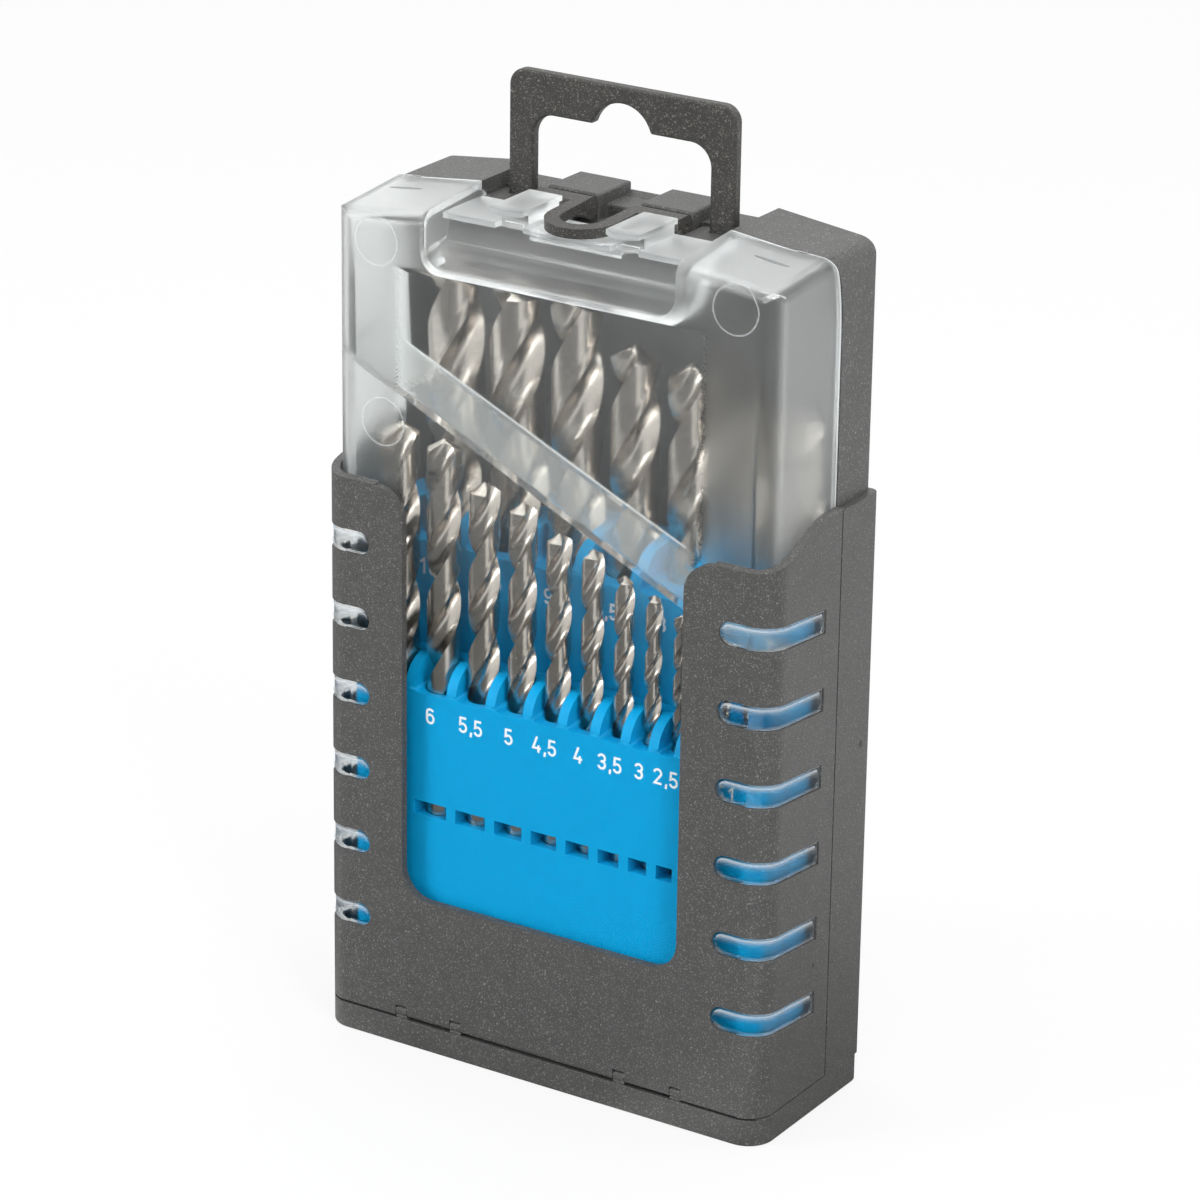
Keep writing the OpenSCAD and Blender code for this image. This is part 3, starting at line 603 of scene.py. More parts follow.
@dataclass(frozen=True)
class ClearPlastic:
    """Clear polypropylene: glossy in the window, frosted round it and on top.

    Places are in millimetres. Each reach is where a change starts and where
    it is complete, and each veil is a share of milky white. The trough on top
    is clearer than the frosted plastic round it, and its colour is darkened
    as painted shade.
    """

    name: str = "clear_plastic"
    window_half: float = 29.6
    window_rim: tuple = (-0.5, 2.3)
    window_top: float = 143.3
    top_blur: float = 0.5
    frost_reach: tuple = (96.0, 97.5)
    trough_half: float = 23.6
    trough_blur: float = 0.3
    trough_reaches: tuple = ((-15.2, -14.6), (-9.9, -10.4))
    colour: tuple = (250, 252, 251)
    # darker colour of the trough: painted shade
    trough_shade_colour: tuple = (228, 231, 232)
    milk: tuple = (238, 240, 241)
    shadow: tuple = (240, 241, 241)
    frost: float = 0.4
    gloss: float = 0.15
    frosted_ior: float = 1.4
    window_ior: float = 1.1
    raggedness: float = 2.4
    rib_blur: float = 0.7
    grain: tuple = (3.0, 2.0, 0.6)
    dents: tuple = (0.4, 0.04)
    upward: tuple = (0.5, 0.97)
    sideways: tuple = (0.8, 0.97)
    veil_unevenness: float = 0.4
    veil: float = 0.008
    # window veil over the haze reach, and top veil on faces that look up: painted sheen of the light
    # from above
    window_veil: float = 0.036
    haze_reach: tuple = (75.0, 120.0)
    top_veil: float = 0.1
    side_veil: float = 0.035
    # milk on every face of the edge material: painted highlight
    edge_highlight_veil: float = 0.0

    def outside(self, board: NodeBoard, x: bpy.types.NodeSocket,
                grain: bpy.types.NodeSocket) -> bpy.types.NodeSocket:
        """Share of the part beside the window, whose border the grain makes ragged.

        Args:
            board: The board.
            x: Distance from the middle.
            grain: Noise value.

        Returns:
            The share's socket.
        """
        moved = board.math("MULTIPLY", board.math("SUBTRACT", grain, 0.5), self.raggedness * MM)
        inner, outer = ((self.window_half + rim) * MM for rim in self.window_rim)
        return board.band(board.math("ADD", x, moved), inner, outer)

    def trough(self, board: NodeBoard, x: bpy.types.NodeSocket, y: bpy.types.NodeSocket,
               top: bpy.types.NodeSocket) -> bpy.types.NodeSocket:
        """Share of the trough in the top.

        Args:
            board: The board.
            x: Distance from the middle.
            y: Place in depth.
            top: Share of the top.

        Returns:
            The share's socket.
        """
        share = board.math("MULTIPLY", top, board.band(
            x, (self.trough_half + self.trough_blur) * MM, (self.trough_half - self.trough_blur) * MM))
        for start, end in self.trough_reaches:
            share = board.math("MULTIPLY", share, board.band(y, start * MM, end * MM))
        return share

    def haze(self, board: NodeBoard, z: bpy.types.NodeSocket, grain: bpy.types.NodeSocket,
             matt: bpy.types.NodeSocket, trough: bpy.types.NodeSocket) -> bpy.types.NodeSocket:
        """Share of milky white, as the sum of the veils.

        Faces that look up are the haziest, and the window grows hazier towards
        the top: painted sheen of the light from above, which catches the grain.

        Args:
            board: The board.
            z: Height.
            grain: Noise value, which makes the haze uneven.
            matt: Share of the frosted part, with the trough.
            trough: Share of the trough.

        Returns:
            The share's socket.
        """
        facing = board.axes_of(board.coordinates["Normal"])
        upward = board.math("MULTIPLY", board.math("SUBTRACT", 1.0, trough),
                            board.band(facing["Z"], *self.upward))
        sideways = board.band(board.math("ABSOLUTE", facing["X"]), *self.sideways)
        # more milk higher in the window: painted haze of the light falling in from above
        lit = board.math("MULTIPLY", board.math("SUBTRACT", 1.0, matt),
                         board.band(z, *(height * MM for height in self.haze_reach)))
        level = self.edge_highlight_veil
        for share, veil in ((upward, self.top_veil), (board.math("SUBTRACT", matt, trough), self.veil),
                            (sideways, self.side_veil), (lit, self.window_veil)):
            level = board.math("ADD", level, board.math("MULTIPLY", share, veil))
        return board.math("MULTIPLY", level, board.spread(grain, 1 - self.veil_unevenness,
                                                          1 + self.veil_unevenness))

    def build(self) -> bpy.types.Material:
        """Transmission whose roughness, index and haze follow the place on the cover.

        Returns:
            The material.
        """
        board = NodeBoard.named(self.name)
        axes = board.axes_of(board.place)
        across = board.math("ABSOLUTE", axes["X"])
        grain = board.noise(*self.grain)
        outside = self.outside(board, across, grain)
        top = board.band(axes["Z"], (self.window_top - self.top_blur) * MM,
                         (self.window_top + self.top_blur) * MM)
        side = board.math("MULTIPLY", outside, board.band(
            axes["Z"], *(height * MM for height in self.frost_reach)))
        trough = self.trough(board, across, axes["Y"], top)
        matt = board.math("MAXIMUM", side, top)
        blurred = board.math("MAXIMUM", matt, board.math("MULTIPLY", outside, self.rib_blur))
        dents = board.bump(board.math("MULTIPLY", grain, matt), *self.dents)
        glass = board.add("ShaderNodeBsdfPrincipled", Transmission_Weight=1.0, Normal=dents,
                          # the trough's base colour is darkened as painted shade
                          Base_Color=board.blend(trough, linear(self.colour),
                                                 linear(self.trough_shade_colour)),
                          Roughness=board.spread(blurred, self.gloss, self.frost),
                          IOR=board.spread(matt, self.window_ior, self.frosted_ior))
        milk = board.add("ShaderNodeBsdfDiffuse", Color=linear(self.milk))
        hazy = board.mixed(self.haze(board, axes["Z"], grain, matt, trough), glass, milk)
        clear = board.add("ShaderNodeBsdfTransparent", Color=linear(self.shadow))
        path = board.add("ShaderNodeLightPath").outputs
        return board.show(board.mixed(path["Is Shadow Ray"], hazy, clear))


@dataclass(frozen=True)
class BrightSteel:
    """Ground and polished steel of the bits, slightly warm, with fine scratches."""

    name: str = "bright_steel"
    colour: tuple = (202, 194, 186)
    tone: tuple = (0.7, 2.0)
    swing: float = 5.0
    marks: tuple = (3.0, 3.0, 0.65)
    scratches: tuple = (0.05, 0.02)
    roughness: tuple = (0.16, 0.33)

    def build(self) -> bpy.types.Material:
        """Metal whose roughness and tone vary with fine grinding marks.

        Returns:
            The material.
        """
        board = NodeBoard.named(self.name)
        marks = board.noise(*self.marks)
        base = board.cloudy(board.noise(*self.tone), self.colour, self.swing)
        return board.show(board.add("ShaderNodeBsdfPrincipled", Base_Color=base, Metallic=1.0,
                                    Roughness=board.spread(marks, *self.roughness),
                                    Normal=board.bump(marks, *self.scratches)))


@dataclass(frozen=True)
class MouldMarkOrSheen:
    """Faint mark in clear plastic, which is paler or darker than what it is on.

    The reach upward gives the Z of a face's normal at which the mark starts
    and at which it shows in full. On the grip beads the veil keeps to their
    upper half, as a painted sheen of the light from above.
    """

    name: str
    colour: tuple
    share: float
    upward: tuple = (-1.0, -0.9)
    tone: tuple = (2.0, 2.0)
    unevenness: float = 0.12

    def build(self) -> bpy.types.Material:
        """A thin veil of its colour, a little uneven, on the faces that look up enough.

        Returns:
            The material.
        """
        board = NodeBoard.named(self.name)
        uneven = board.spread(board.noise(*self.tone), self.share - self.unevenness,
                              self.share + self.unevenness)
        facing = board.axes_of(board.coordinates["Normal"])
        share = board.math("MULTIPLY", uneven, board.band(facing["Z"], *self.upward))
        clear = board.add("ShaderNodeBsdfTransparent")
        veil = board.add("ShaderNodeBsdfDiffuse", Color=linear(self.colour))
        return board.show(board.mixed(share, clear, veil))


@dataclass(frozen=True)
class PrintInk:
    """Pale printed numerals, slightly worn."""

    name: str = "print_ink"
    colour: tuple = (232, 236, 240)
    thin_colour: tuple = (196, 216, 232)
    tone: tuple = (3.0, 3.0)
    roughness: float = 0.5

    def build(self) -> bpy.types.Material:
        """Near white, a little thinner here and there.

        Returns:
            The material.
        """
        board = NodeBoard.named(self.name)
        base = board.ramp(board.noise(*self.tone), [(0.25, linear(self.thin_colour)),
                                                    (0.5, linear(self.colour))])
        return board.show(board.add("ShaderNodeBsdfPrincipled", Base_Color=base,
                                    Roughness=self.roughness))


@dataclass
class Finishes:
    """Every finish of the case, built once."""

    dark: bpy.types.Material = field(default_factory=lambda: GrainedPlastic().build())
    blue: bpy.types.Material = field(default_factory=lambda: RackPlastic().build())
    darker: bpy.types.Material = field(default_factory=lambda: GrainedPlastic(
        "darker_grained_plastic", (62, 61, 59), (148, 144, 138)).build())
    clear: bpy.types.Material = field(default_factory=lambda: ClearPlastic().build())
    # pale veil on the beads' upper half: painted sheen of the light from above
    bead: bpy.types.Material = field(default_factory=lambda: MouldMarkOrSheen(
        "grip_bead", (226, 232, 238), 0.5, (0.0, 0.3)).build())
    # milky edge material on the cover's rounded edges and along the rib and rim: painted highlight
    clear_edge_highlight: bpy.types.Material = field(default_factory=lambda: ClearPlastic(
        "clear_plastic_edge_highlight", veil=0.1, edge_highlight_veil=0.5).build())
    steel: bpy.types.Material = field(default_factory=lambda: BrightSteel().build())
    ink: bpy.types.Material = field(default_factory=lambda: PrintInk().build())
    pale_mark: bpy.types.Material = field(
        default_factory=lambda: MouldMarkOrSheen("pale_mark", (240, 242, 243), 0.17).build())
    dark_mark: bpy.types.Material = field(
        default_factory=lambda: MouldMarkOrSheen("dark_mark", (110, 112, 113), 0.45).build())


def fit(piece: bpy.types.Object, material: bpy.types.Material, body: Body,
        node: str | None = None) -> bpy.types.Object:
    """Dresses a piece, seats it on its body and logs it.

    Args:
        piece: The piece, at the origin with its place in its mesh.
        material: Its finish.
        body: The body it rides on.
        node: The CAD node that it stands for, if any.

    Returns:
        The piece.
    """
    piece.data.materials.clear()
    piece.data.materials.append(material)
    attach(piece, body.value)
    if node:
        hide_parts(node)
    LOG.info("%s on %s", piece.name, body.value)
    return piece


# ---- sub-assemblies ----


@dataclass
class CaseShells:
    """The base tray and the rear shell, which stand still.

    Edges above the top's height and beyond the outer x or y, in millimetres,
    are rounded with the whole radius, and others with a share of it.
    """

    edge: float = 1.1 * MM
    outer_x: float = 43.3
    outer_y: float = 16.3
    top_z: float = 143.0
    inner_share: float = 0.36

    def rule(self, middles: Array) -> Array:
        """The whole radius on the outer top edges, about a third elsewhere."""
        x, y, z = np.abs(middles[:, 0]), middles[:, 1], middles[:, 2]
        outer = (z > self.top_z) & ((y > self.outer_y) | (x > self.outer_x))
        return np.where(outer, 1.0, self.inner_share)

    def build(self, finish: Finishes) -> None:
        """Rounds the edges of both shells and dresses them and the pin.

        Args:
            finish: The finishes.
        """
        for node in ("base_tray", "rear_shell"):
            fit(softened_copy(node, self.edge, self.rule), finish.dark, Body.CASE,
                node)
        dress_node("hinge_pin", finish.steel)


@dataclass
class HingedFront:
    """The front frame with the clear cover behind it.

    Places and sizes are in millimetres, apart from the two edge radii. Each
    ring has its middle's x and z, and each dash its middle's x and y. The grip
    ribs' path counts its depth from the frame's front, half a depth before the
    middle of the case.
    """

    edge: float = 0.75 * MM
    front_y: float = -16.9
    frame_share: float = 0.75
    cover_edge: float = 1.0 * MM
    shoulder_x: float = 22.0
    shoulder_z: float = 147.0
    outer_x: float = 43.2
    outer_y: float = -15.7
    cover_share: float = 0.36
    rings: tuple = ((-34.4, 147.3), (-33.1, 115.5), (36.0, 148.1))
    ring_radius: float = 4.25
    ring_bead: tuple = (0.15, 0.03)
    dashes: tuple = ((-36.0, -4.6), (36.0, -4.6))
    dash_half: tuple = (3.5, 0.65, 0.03)
    dash_end: float = 0.995
    rib_reach: tuple = (-42.0, 21.5)
    rib_plane: float = -5.03
    rib_inside: float = 0.4
    rib_highlight_radius: float = 0.16
    rim_plane: float = 0.6
    rim_inside: float = 0.2
    rim_highlight_radius: float = 0.12
    rim_highlight_back: float = 0.06
    shoulder_reach: tuple = (24.9, 40.0)
    side_reach: tuple = (148.5, 98.0)
    shoulder_middle: tuple = (40.0, 149.5)
    corner_reach: float = 30.0
    half_depth: float = 17.3
    face_y: float = 0.3
    corner_x: float = 40.25
    corner_y: float = 5.0
    slots: int = 6
    slot_top: float = 93.0
    slot_pitch: float = 14.0
    slot_sink: float = 1.8
    bead_reach: tuple = (35.5, 17.4)
    bead_half: float = 1.65
    bead_height: float = 0.27
    bead_root: float = -0.1
    bead_tail: float = 0.8
    bead_end: float = 0.004
    dome_power: float = 0.8
    dome_points: int = 13
    front_rows: int = 14
    bend_rows: int = 13
    side_rows: int = 16

    def frame_rule(self, middles: Array) -> Array:
        """The whole radius on the front face, most of it elsewhere."""
        return np.where(middles[:, 1] < self.front_y, 1.0, self.frame_share)

    def cover_rule(self, middles: Array) -> Array:
        """The whole radius on the outer edges of the shoulders, about a third elsewhere."""
        x, y, z = np.abs(middles[:, 0]), middles[:, 1], middles[:, 2]
        shoulder = (z > self.shoulder_z) & (x > self.shoulder_x)
        outer = (y < self.outer_y) | (x > self.outer_x)
        return np.where(shoulder & outer, 1.0, self.cover_share)

    def bead(self, number: int, side: int) -> tuple[Array, list]:
        """A low dome along one grip rib, from the front face round the corner.

        The path follows the rib's face: straight along the front, a quarter
        circle round the corner, and straight along the side, where it sinks
        towards the rear. Across it the height is a power of a sine.
        Width and height shrink at both ends as a circle does.

        Args:
            number: Number of the rib, from the top.
            side: 1 on the right, -1 on the left.

        Returns:
            Points and faces.
        """
        bend = self.corner_y - self.face_y
        turn = np.radians(np.linspace(0, 90, self.bend_rows + 1)[1:])
        over, back = np.sin(turn), np.cos(turn)
        front_x = np.linspace(self.bead_reach[0], self.corner_x, self.front_rows)
        rear_y = np.linspace(self.corner_y, self.bead_reach[1], self.side_rows + 1)[1:]
        path = np.concatenate([
            np.stack([front_x, np.full(self.front_rows, self.face_y)], 1),
            np.stack([self.corner_x + bend * over, self.corner_y - bend * back], 1),
            np.stack([np.full(self.side_rows, self.corner_x + bend), rear_y], 1)])
        out = np.concatenate([np.tile((0.0, -1.0), (self.front_rows, 1)),
                              np.stack([over, -back], 1),
                              np.tile((1.0, 0.0), (self.side_rows, 1))])
        steps = np.linalg.norm(np.diff(path, axis=0), axis=1)
        along = np.concatenate([[0], np.cumsum(steps)])
        ends = np.minimum(along / self.bead_half, (along[-1] - along) / self.bead_tail)
        share = np.sqrt(np.maximum(1 - (1 - np.minimum(ends, 1)) ** 2, self.bead_end))[:, None]
        across = np.radians(np.linspace(0, 180, self.dome_points))
        high = np.concatenate([np.sin(across) ** self.dome_power * self.bead_height,
                               [self.bead_root] * 2])
        wide = np.concatenate([np.cos(across), [-1.0, 1.0]]) * self.bead_half
        sink = self.slot_sink * (path[:, 1] - self.face_y) / self.half_depth
        middle = self.slot_top - number * self.slot_pitch - np.where(
            path[:, 0] > self.corner_x, sink, 0.0)
        place = path[:, None] + out[:, None] * (high * share)[..., None]
        height = middle[:, None] + wide * share
        rings = np.stack([side * place[..., 0], place[..., 1] - self.half_depth, height], 2)
        return sweep(rings, False)

    def rib_line(self, tree: BVHTree) -> tuple[Array, list]:
        """A fine bead of painted highlight along the rib's rear upper edge, found
        from above and behind.

        Its section is a circle whose middle lies on the edge.

        Args:
            tree: Search tree of the cover.

        Returns:
            Points and faces.
        """
        bead = ring_angles(8)
        around, up = self.rib_highlight_radius * np.cos(bead), self.rib_highlight_radius * np.sin(bead)
        rows = []
        for x in np.linspace(*self.rib_reach, 24):
            top = tree.ray_cast(Vector((x, self.rib_plane, 140)) * MM, Vector((0, 0, -1)))[0]
            back = top and tree.ray_cast(Vector((x, 0, top.z / MM - self.rib_inside)) * MM,
                                         Vector((0, -1, 0)))[0]
            if back is None:
                continue
            rows.append(np.stack([np.full(8, x), back.y / MM + around, top.z / MM + up], 1))
        return sweep(np.array(rows), False)

    def rim_rays(self) -> list[tuple]:
        """Starts (x, z) and directions of the rays that look for the rim's outer face.

        They come down on the shoulder, in towards its corner, and in from
        the side.

        Returns:
            Start and direction of each ray, on the right.
        """
        middle_x, middle_z = self.shoulder_middle
        rays = [((x, 200.0), (0.0, -1.0)) for x in np.linspace(*self.shoulder_reach, 9)]
        for a in np.radians(np.linspace(85, 0, 9)):
            over, up = np.cos(a), np.sin(a)
            start = (middle_x + self.corner_reach * over, middle_z + self.corner_reach * up)
            rays.append((start, (-over, -up)))
        return rays + [((70.0, z), (-1.0, 0.0)) for z in np.linspace(*self.side_reach, 24)]

    def rim_highlight(self, tree: BVHTree, side: int) -> tuple[Array, list]:
        """A fine bead of painted highlight along the cover's rear rim, over the
        shoulder and down the side.

        Rays towards the cover in an upright plane find its outer face, and a
        ray from behind, a little inside that face, finds the rim. The section
        is a circle whose middle lies just before the rim.

        Args:
            tree: Search tree of the cover.
            side: 1 on the right, -1 on the left.

        Returns:
            Points and faces.
        """
        bead = ring_angles(8)
        out = self.rim_highlight_radius * np.sin(bead)
        along = self.rim_highlight_radius * np.cos(bead) - self.rim_highlight_back
        rows = []
        for (x, z), (dx, dz) in self.rim_rays():
            inwards = Vector((side * dx, 0, dz))
            face = tree.ray_cast(Vector((side * x, self.rim_plane, z)) * MM, inwards)[0]
            inside = face and face / MM + self.rim_inside * inwards
            rim = inside and tree.ray_cast(Vector((inside.x, 60, inside.z)) * MM,
                                           Vector((0, -1, 0)))[0]
            if rim is None:
                continue
            rows.append(np.stack([face.x / MM - out * side * dx, rim.y / MM + along,
                                  face.z / MM - out * dz], 1))
        return sweep(np.array(rows), False)

    def ring(self, tree: BVHTree, x: float, z: float) -> tuple[Array, list]:
        """A flat bead round (x, z) that follows the front of the cover.

        Its section is an ellipse whose middle lies on the surface.

        Args:
            tree: Search tree of the cover.
            x: Middle of the ring, across.
            z: Middle of the ring, up.

        Returns:
            Points and faces.
        """
        bead = ring_angles(8)
        out = self.ring_radius + self.ring_bead[0] * np.cos(bead)
        deep = self.ring_bead[1] * np.sin(bead)
        rows = []
        for a in ring_angles(64):
            px, pz = x + self.ring_radius * np.cos(a), z + self.ring_radius * np.sin(a)
            hit = tree.ray_cast(Vector((px, -60, pz)) * MM, Vector((0, 1, 0)))[0]
            rows.append(np.stack([x + out * np.cos(a), hit.y / MM + deep, z + out * np.sin(a)], 1))
        return sweep(np.array(rows), True)

    def dash(self, tree: BVHTree, x: float, y: float) -> tuple[Array, list]:
        """A flat lens that lies on the shoulder at (x, y), longest along X.

        Its rows are ellipses, which shrink to both ends as a circle does.

        Args:
            tree: Search tree of the cover.
            x: Middle of the dash, across.
            y: Middle of the dash, in depth.

        Returns:
            Points and faces.
        """
        length, depth, height = self.dash_half
        rows, bead = [], ring_angles(12)
        for t in np.linspace(-self.dash_end, self.dash_end, 15):
            px, share = x + length * t, math.sqrt(1 - t * t)
            hit = tree.ray_cast(Vector((px, y, 200)) * MM, Vector((0, 0, -1)))[0]
            rows.append(np.stack([np.full(12, px), y + depth * share * np.cos(bead),
                                  hit.z / MM + height * share * np.sin(bead)], 1))
        return sweep(np.array(rows), False)

    def build(self, finish: Finishes) -> None:
        """Rounds the frame and the cover, dresses them and adds the mould's marks,
        the grip beads, and the painted highlights along the rib and the rim.

        Args:
            finish: The finishes.
        """
        tree = surface_tree(bpy.data.objects["clear_cover"].data)
        fit(softened_copy("front_frame", self.edge, self.frame_rule), finish.dark, Body.LID,
            "front_frame")
        cover = fit(softened_copy("clear_cover", self.cover_edge, self.cover_rule), finish.clear,
                    Body.LID, "clear_cover")
        cover.data.materials.append(finish.clear_edge_highlight)
        # the cover's rounded edges take the painted highlight material
        cover.modifiers["rounded edges"].material = 1
        marks = (("ring_marks", [self.ring(tree, *at) for at in self.rings], finish.pale_mark),
                 ("dash_marks", [self.dash(tree, *at) for at in self.dashes], finish.dark_mark),
                 # rib and rim beads: painted highlight lines
                 ("rib_line", [self.rib_line(tree)], finish.clear_edge_highlight),
                 ("rim_lines", [self.rim_highlight(tree, side) for side in (-1, 1)], finish.clear_edge_highlight),
                 ("grip_beads", [self.bead(number, side) for number in range(self.slots)
                                 for side in (-1, 1)], finish.bead))
        for name, parts, material in marks:
            points, faces = joined(parts)
            piece = mesh_object(name, points * MM, faces)
            face_outwards(piece)
            shade(piece, 60)
            fit(piece, material, Body.LID)


@dataclass
class Latch:
    """The lift-up latch and its pins."""

    edge: float = 0.5 * MM

    def build(self, finish: Finishes) -> None:
        """Rounds the flap and dresses the pins."""
        fit(softened_copy("latch_flap", self.edge), finish.darker, Body.LATCH,
            "latch_flap")
        dress_node("latch_pins", finish.steel)


@dataclass
class Hanger:
    """The sliding hanger."""

    edge: float = 0.95 * MM

    def build(self, finish: Finishes) -> None:
        """Rounds the hanger plate."""
        fit(softened_copy("hanger", self.edge, segments=3), finish.darker, Body.HANGER,
            "hanger")


def dress_node(node: str, material: bpy.types.Material) -> None:
    """Gives a CAD node that stays as it is a finish.

    Args:
        node: Name of the node.
        material: Its finish.
    """
    data = bpy.data.objects[node].data
    data.materials.clear()
    data.materials.append(material)


@dataclass
class DrillBit:
    """A twist drill bit: two flutes, lands with margins, and a ground point.

    The centre is the middle of the shank's foot in metres, and lengths are in
    millimetres. Margins and land are angles in degrees on the section, the
    land's height and the flute's knots are shares of the radius, and chamfer
    and run-out are shares of the diameter.
    """

    diameter: float
    centre: Vector
    length: float
    flute: float
    helix: float = 30.0
    point_angle: float = 118.0
    margin: tuple = (0.0, 6.0, 12.0)
    land: tuple = (15.0, 84.0)
    land_height: float = 0.985
    flute_knots: tuple = ((0.10, -0.22), (-0.30, 0.04), (-1.0, 0.0))
    chamfer: float = 0.06
    run_out: float = 0.8
    clearance: float = 0.01
    around: int = 20
    rows_per_turn: int = 64
    least_rows: int = 40

    def section(self) -> Array:
        """One ring of the fluted part for a radius of 1, anticlockwise from above.

        Half of it is a margin, a step down to the cleared land, and a flute
        that a cubic Bezier curve carries from the heel to the next cutting
        edge. The other half is the same turned by half a turn.

        Returns:
            Array of shape (n, 2).
        """
        margin = np.radians(np.array(self.margin))
        land = np.radians(np.linspace(*self.land, 9))
        rim = np.concatenate([np.stack([np.cos(margin), -np.sin(margin)], 1),
                              self.land_height * np.stack([np.cos(land), -np.sin(land)], 1)])
        t = np.linspace(0, 1, self.around)[1:-1, None]
        knots = np.array([rim[-1], *self.flute_knots])
        flute = ((1 - t) ** 3 * knots[0] + 3 * (1 - t) ** 2 * t * knots[1]
                 + 3 * (1 - t) * t ** 2 * knots[2] + t ** 3 * knots[3])
        half = np.concatenate([rim, flute])
        return np.concatenate([half, -half])[::-1]

    def surface(self) -> tuple[Array, Array]:
        """Points and faces of the whole bit.

        Each ring is the section, turned with its height by the helix angle,
        mixed with a circle where the flutes run out into the shank, and cut
        down to the cone of the point near the end.

        Returns:
            Points of shape (n, 3) in millimetres above the shank's foot, and
            faces.
        """
        r = self.diameter / 2
        shank = self.length - self.flute
        point = r / math.tan(math.radians(self.point_angle / 2))
        pitch = math.pi * self.diameter / math.tan(math.radians(self.helix))
        chamfer = self.chamfer * self.diameter
        fluted = self.length - point - shank
        rows = max(self.least_rows, int(fluted / pitch * self.rows_per_turn))
        heights = np.concatenate([
            [0.0, 0.0, chamfer, chamfer + 0.02, shank * 0.5],
            shank + np.linspace(0, 1, rows) * fluted,
            self.length - point * (1 - np.linspace(0, 1, 12)[1:])])
        outline = self.section()
        angle = np.arctan2(outline[:, 1], outline[:, 0])
        circle = np.stack([np.cos(angle), np.sin(angle)], 1)
        depth = np.clip((heights - shank) / (self.run_out * self.diameter), 0, 1)
        depth = (depth * depth * (3 - 2 * depth))[:, None, None]
        ring = (circle * (1 - depth) + outline * depth) * (r - self.clearance)
        reach = np.linalg.norm(ring, axis=2, keepdims=True)
        limit = np.maximum((self.length - heights) * r / point, 0)
        limit[:4] = np.array([0, r - chamfer, r, r])
        ring = ring * np.minimum(1, limit[:, None, None] / np.maximum(reach, 1e-9))
        turn = np.maximum(2 * math.pi * (heights - shank) / pitch, 0)
        c, s = np.cos(turn)[:, None], np.sin(turn)[:, None]
        x = ring[..., 0] * c - ring[..., 1] * s
        y = ring[..., 0] * s + ring[..., 1] * c
        z = np.broadcast_to(heights[:, None], x.shape)
        points = np.stack([x, y, z], 2).reshape(-1, 3)
        return points, grid_faces(len(heights), len(outline), True)

    def build(self, name: str) -> bpy.types.Object:
        """Makes the bit where the frame has it.

        Args:
            name: Name of the piece.

        Returns:
            The piece.
        """
        points, faces = self.surface()
        made = mesh_object(name, points * MM + np.array(self.centre), faces)
        data = bmesh.new()
        data.from_mesh(made.data)
        bmesh.ops.remove_doubles(data, verts=data.verts, dist=1e-7)
        bmesh.ops.dissolve_degenerate(data, edges=data.edges, dist=1e-7)
        data.to_mesh(made.data)
        data.free()
        shade(made, 32)
        return made


# standard overall and flute lengths of jobber bits, in millimetres, by diameter
BIT_SIZES = {1.0: (34, 12), 1.5: (40, 18), 2.0: (49, 24), 2.5: (57, 30), 3.0: (61, 33),
             3.5: (70, 39), 4.0: (75, 43), 4.5: (80, 47), 5.0: (86, 52), 5.5: (93, 57),
             6.0: (93, 57), 6.5: (101, 63), 7.0: (109, 69), 7.5: (109, 69), 8.0: (117, 75),
             8.5: (117, 75), 9.0: (125, 81), 9.5: (125, 81), 10.0: (133, 87)}


def arc(x: float, y: float, rx: float, ry: float, start: float, end: float) -> Array:
    """Points of an elliptic arc between two angles in degrees."""
    t = np.radians(np.linspace(start, end, max(3, int(abs(end - start) / 15) + 1)))
    return np.stack([x + rx * np.cos(t), y + ry * np.sin(t)], 1)


def line(*ends: float) -> Array:
    """Points of a polyline from x and y in turn."""
    return np.array(ends, float).reshape(-1, 2)


def loop(x: float, low: float, high: float, rx: float, ry: float) -> Array:
    """Points of a closed upright loop with elliptic ends of radii rx and ry."""
    return np.concatenate([arc(x, high - ry, rx, ry, 0, 180), arc(x, low + ry, rx, ry, 180, 360)])


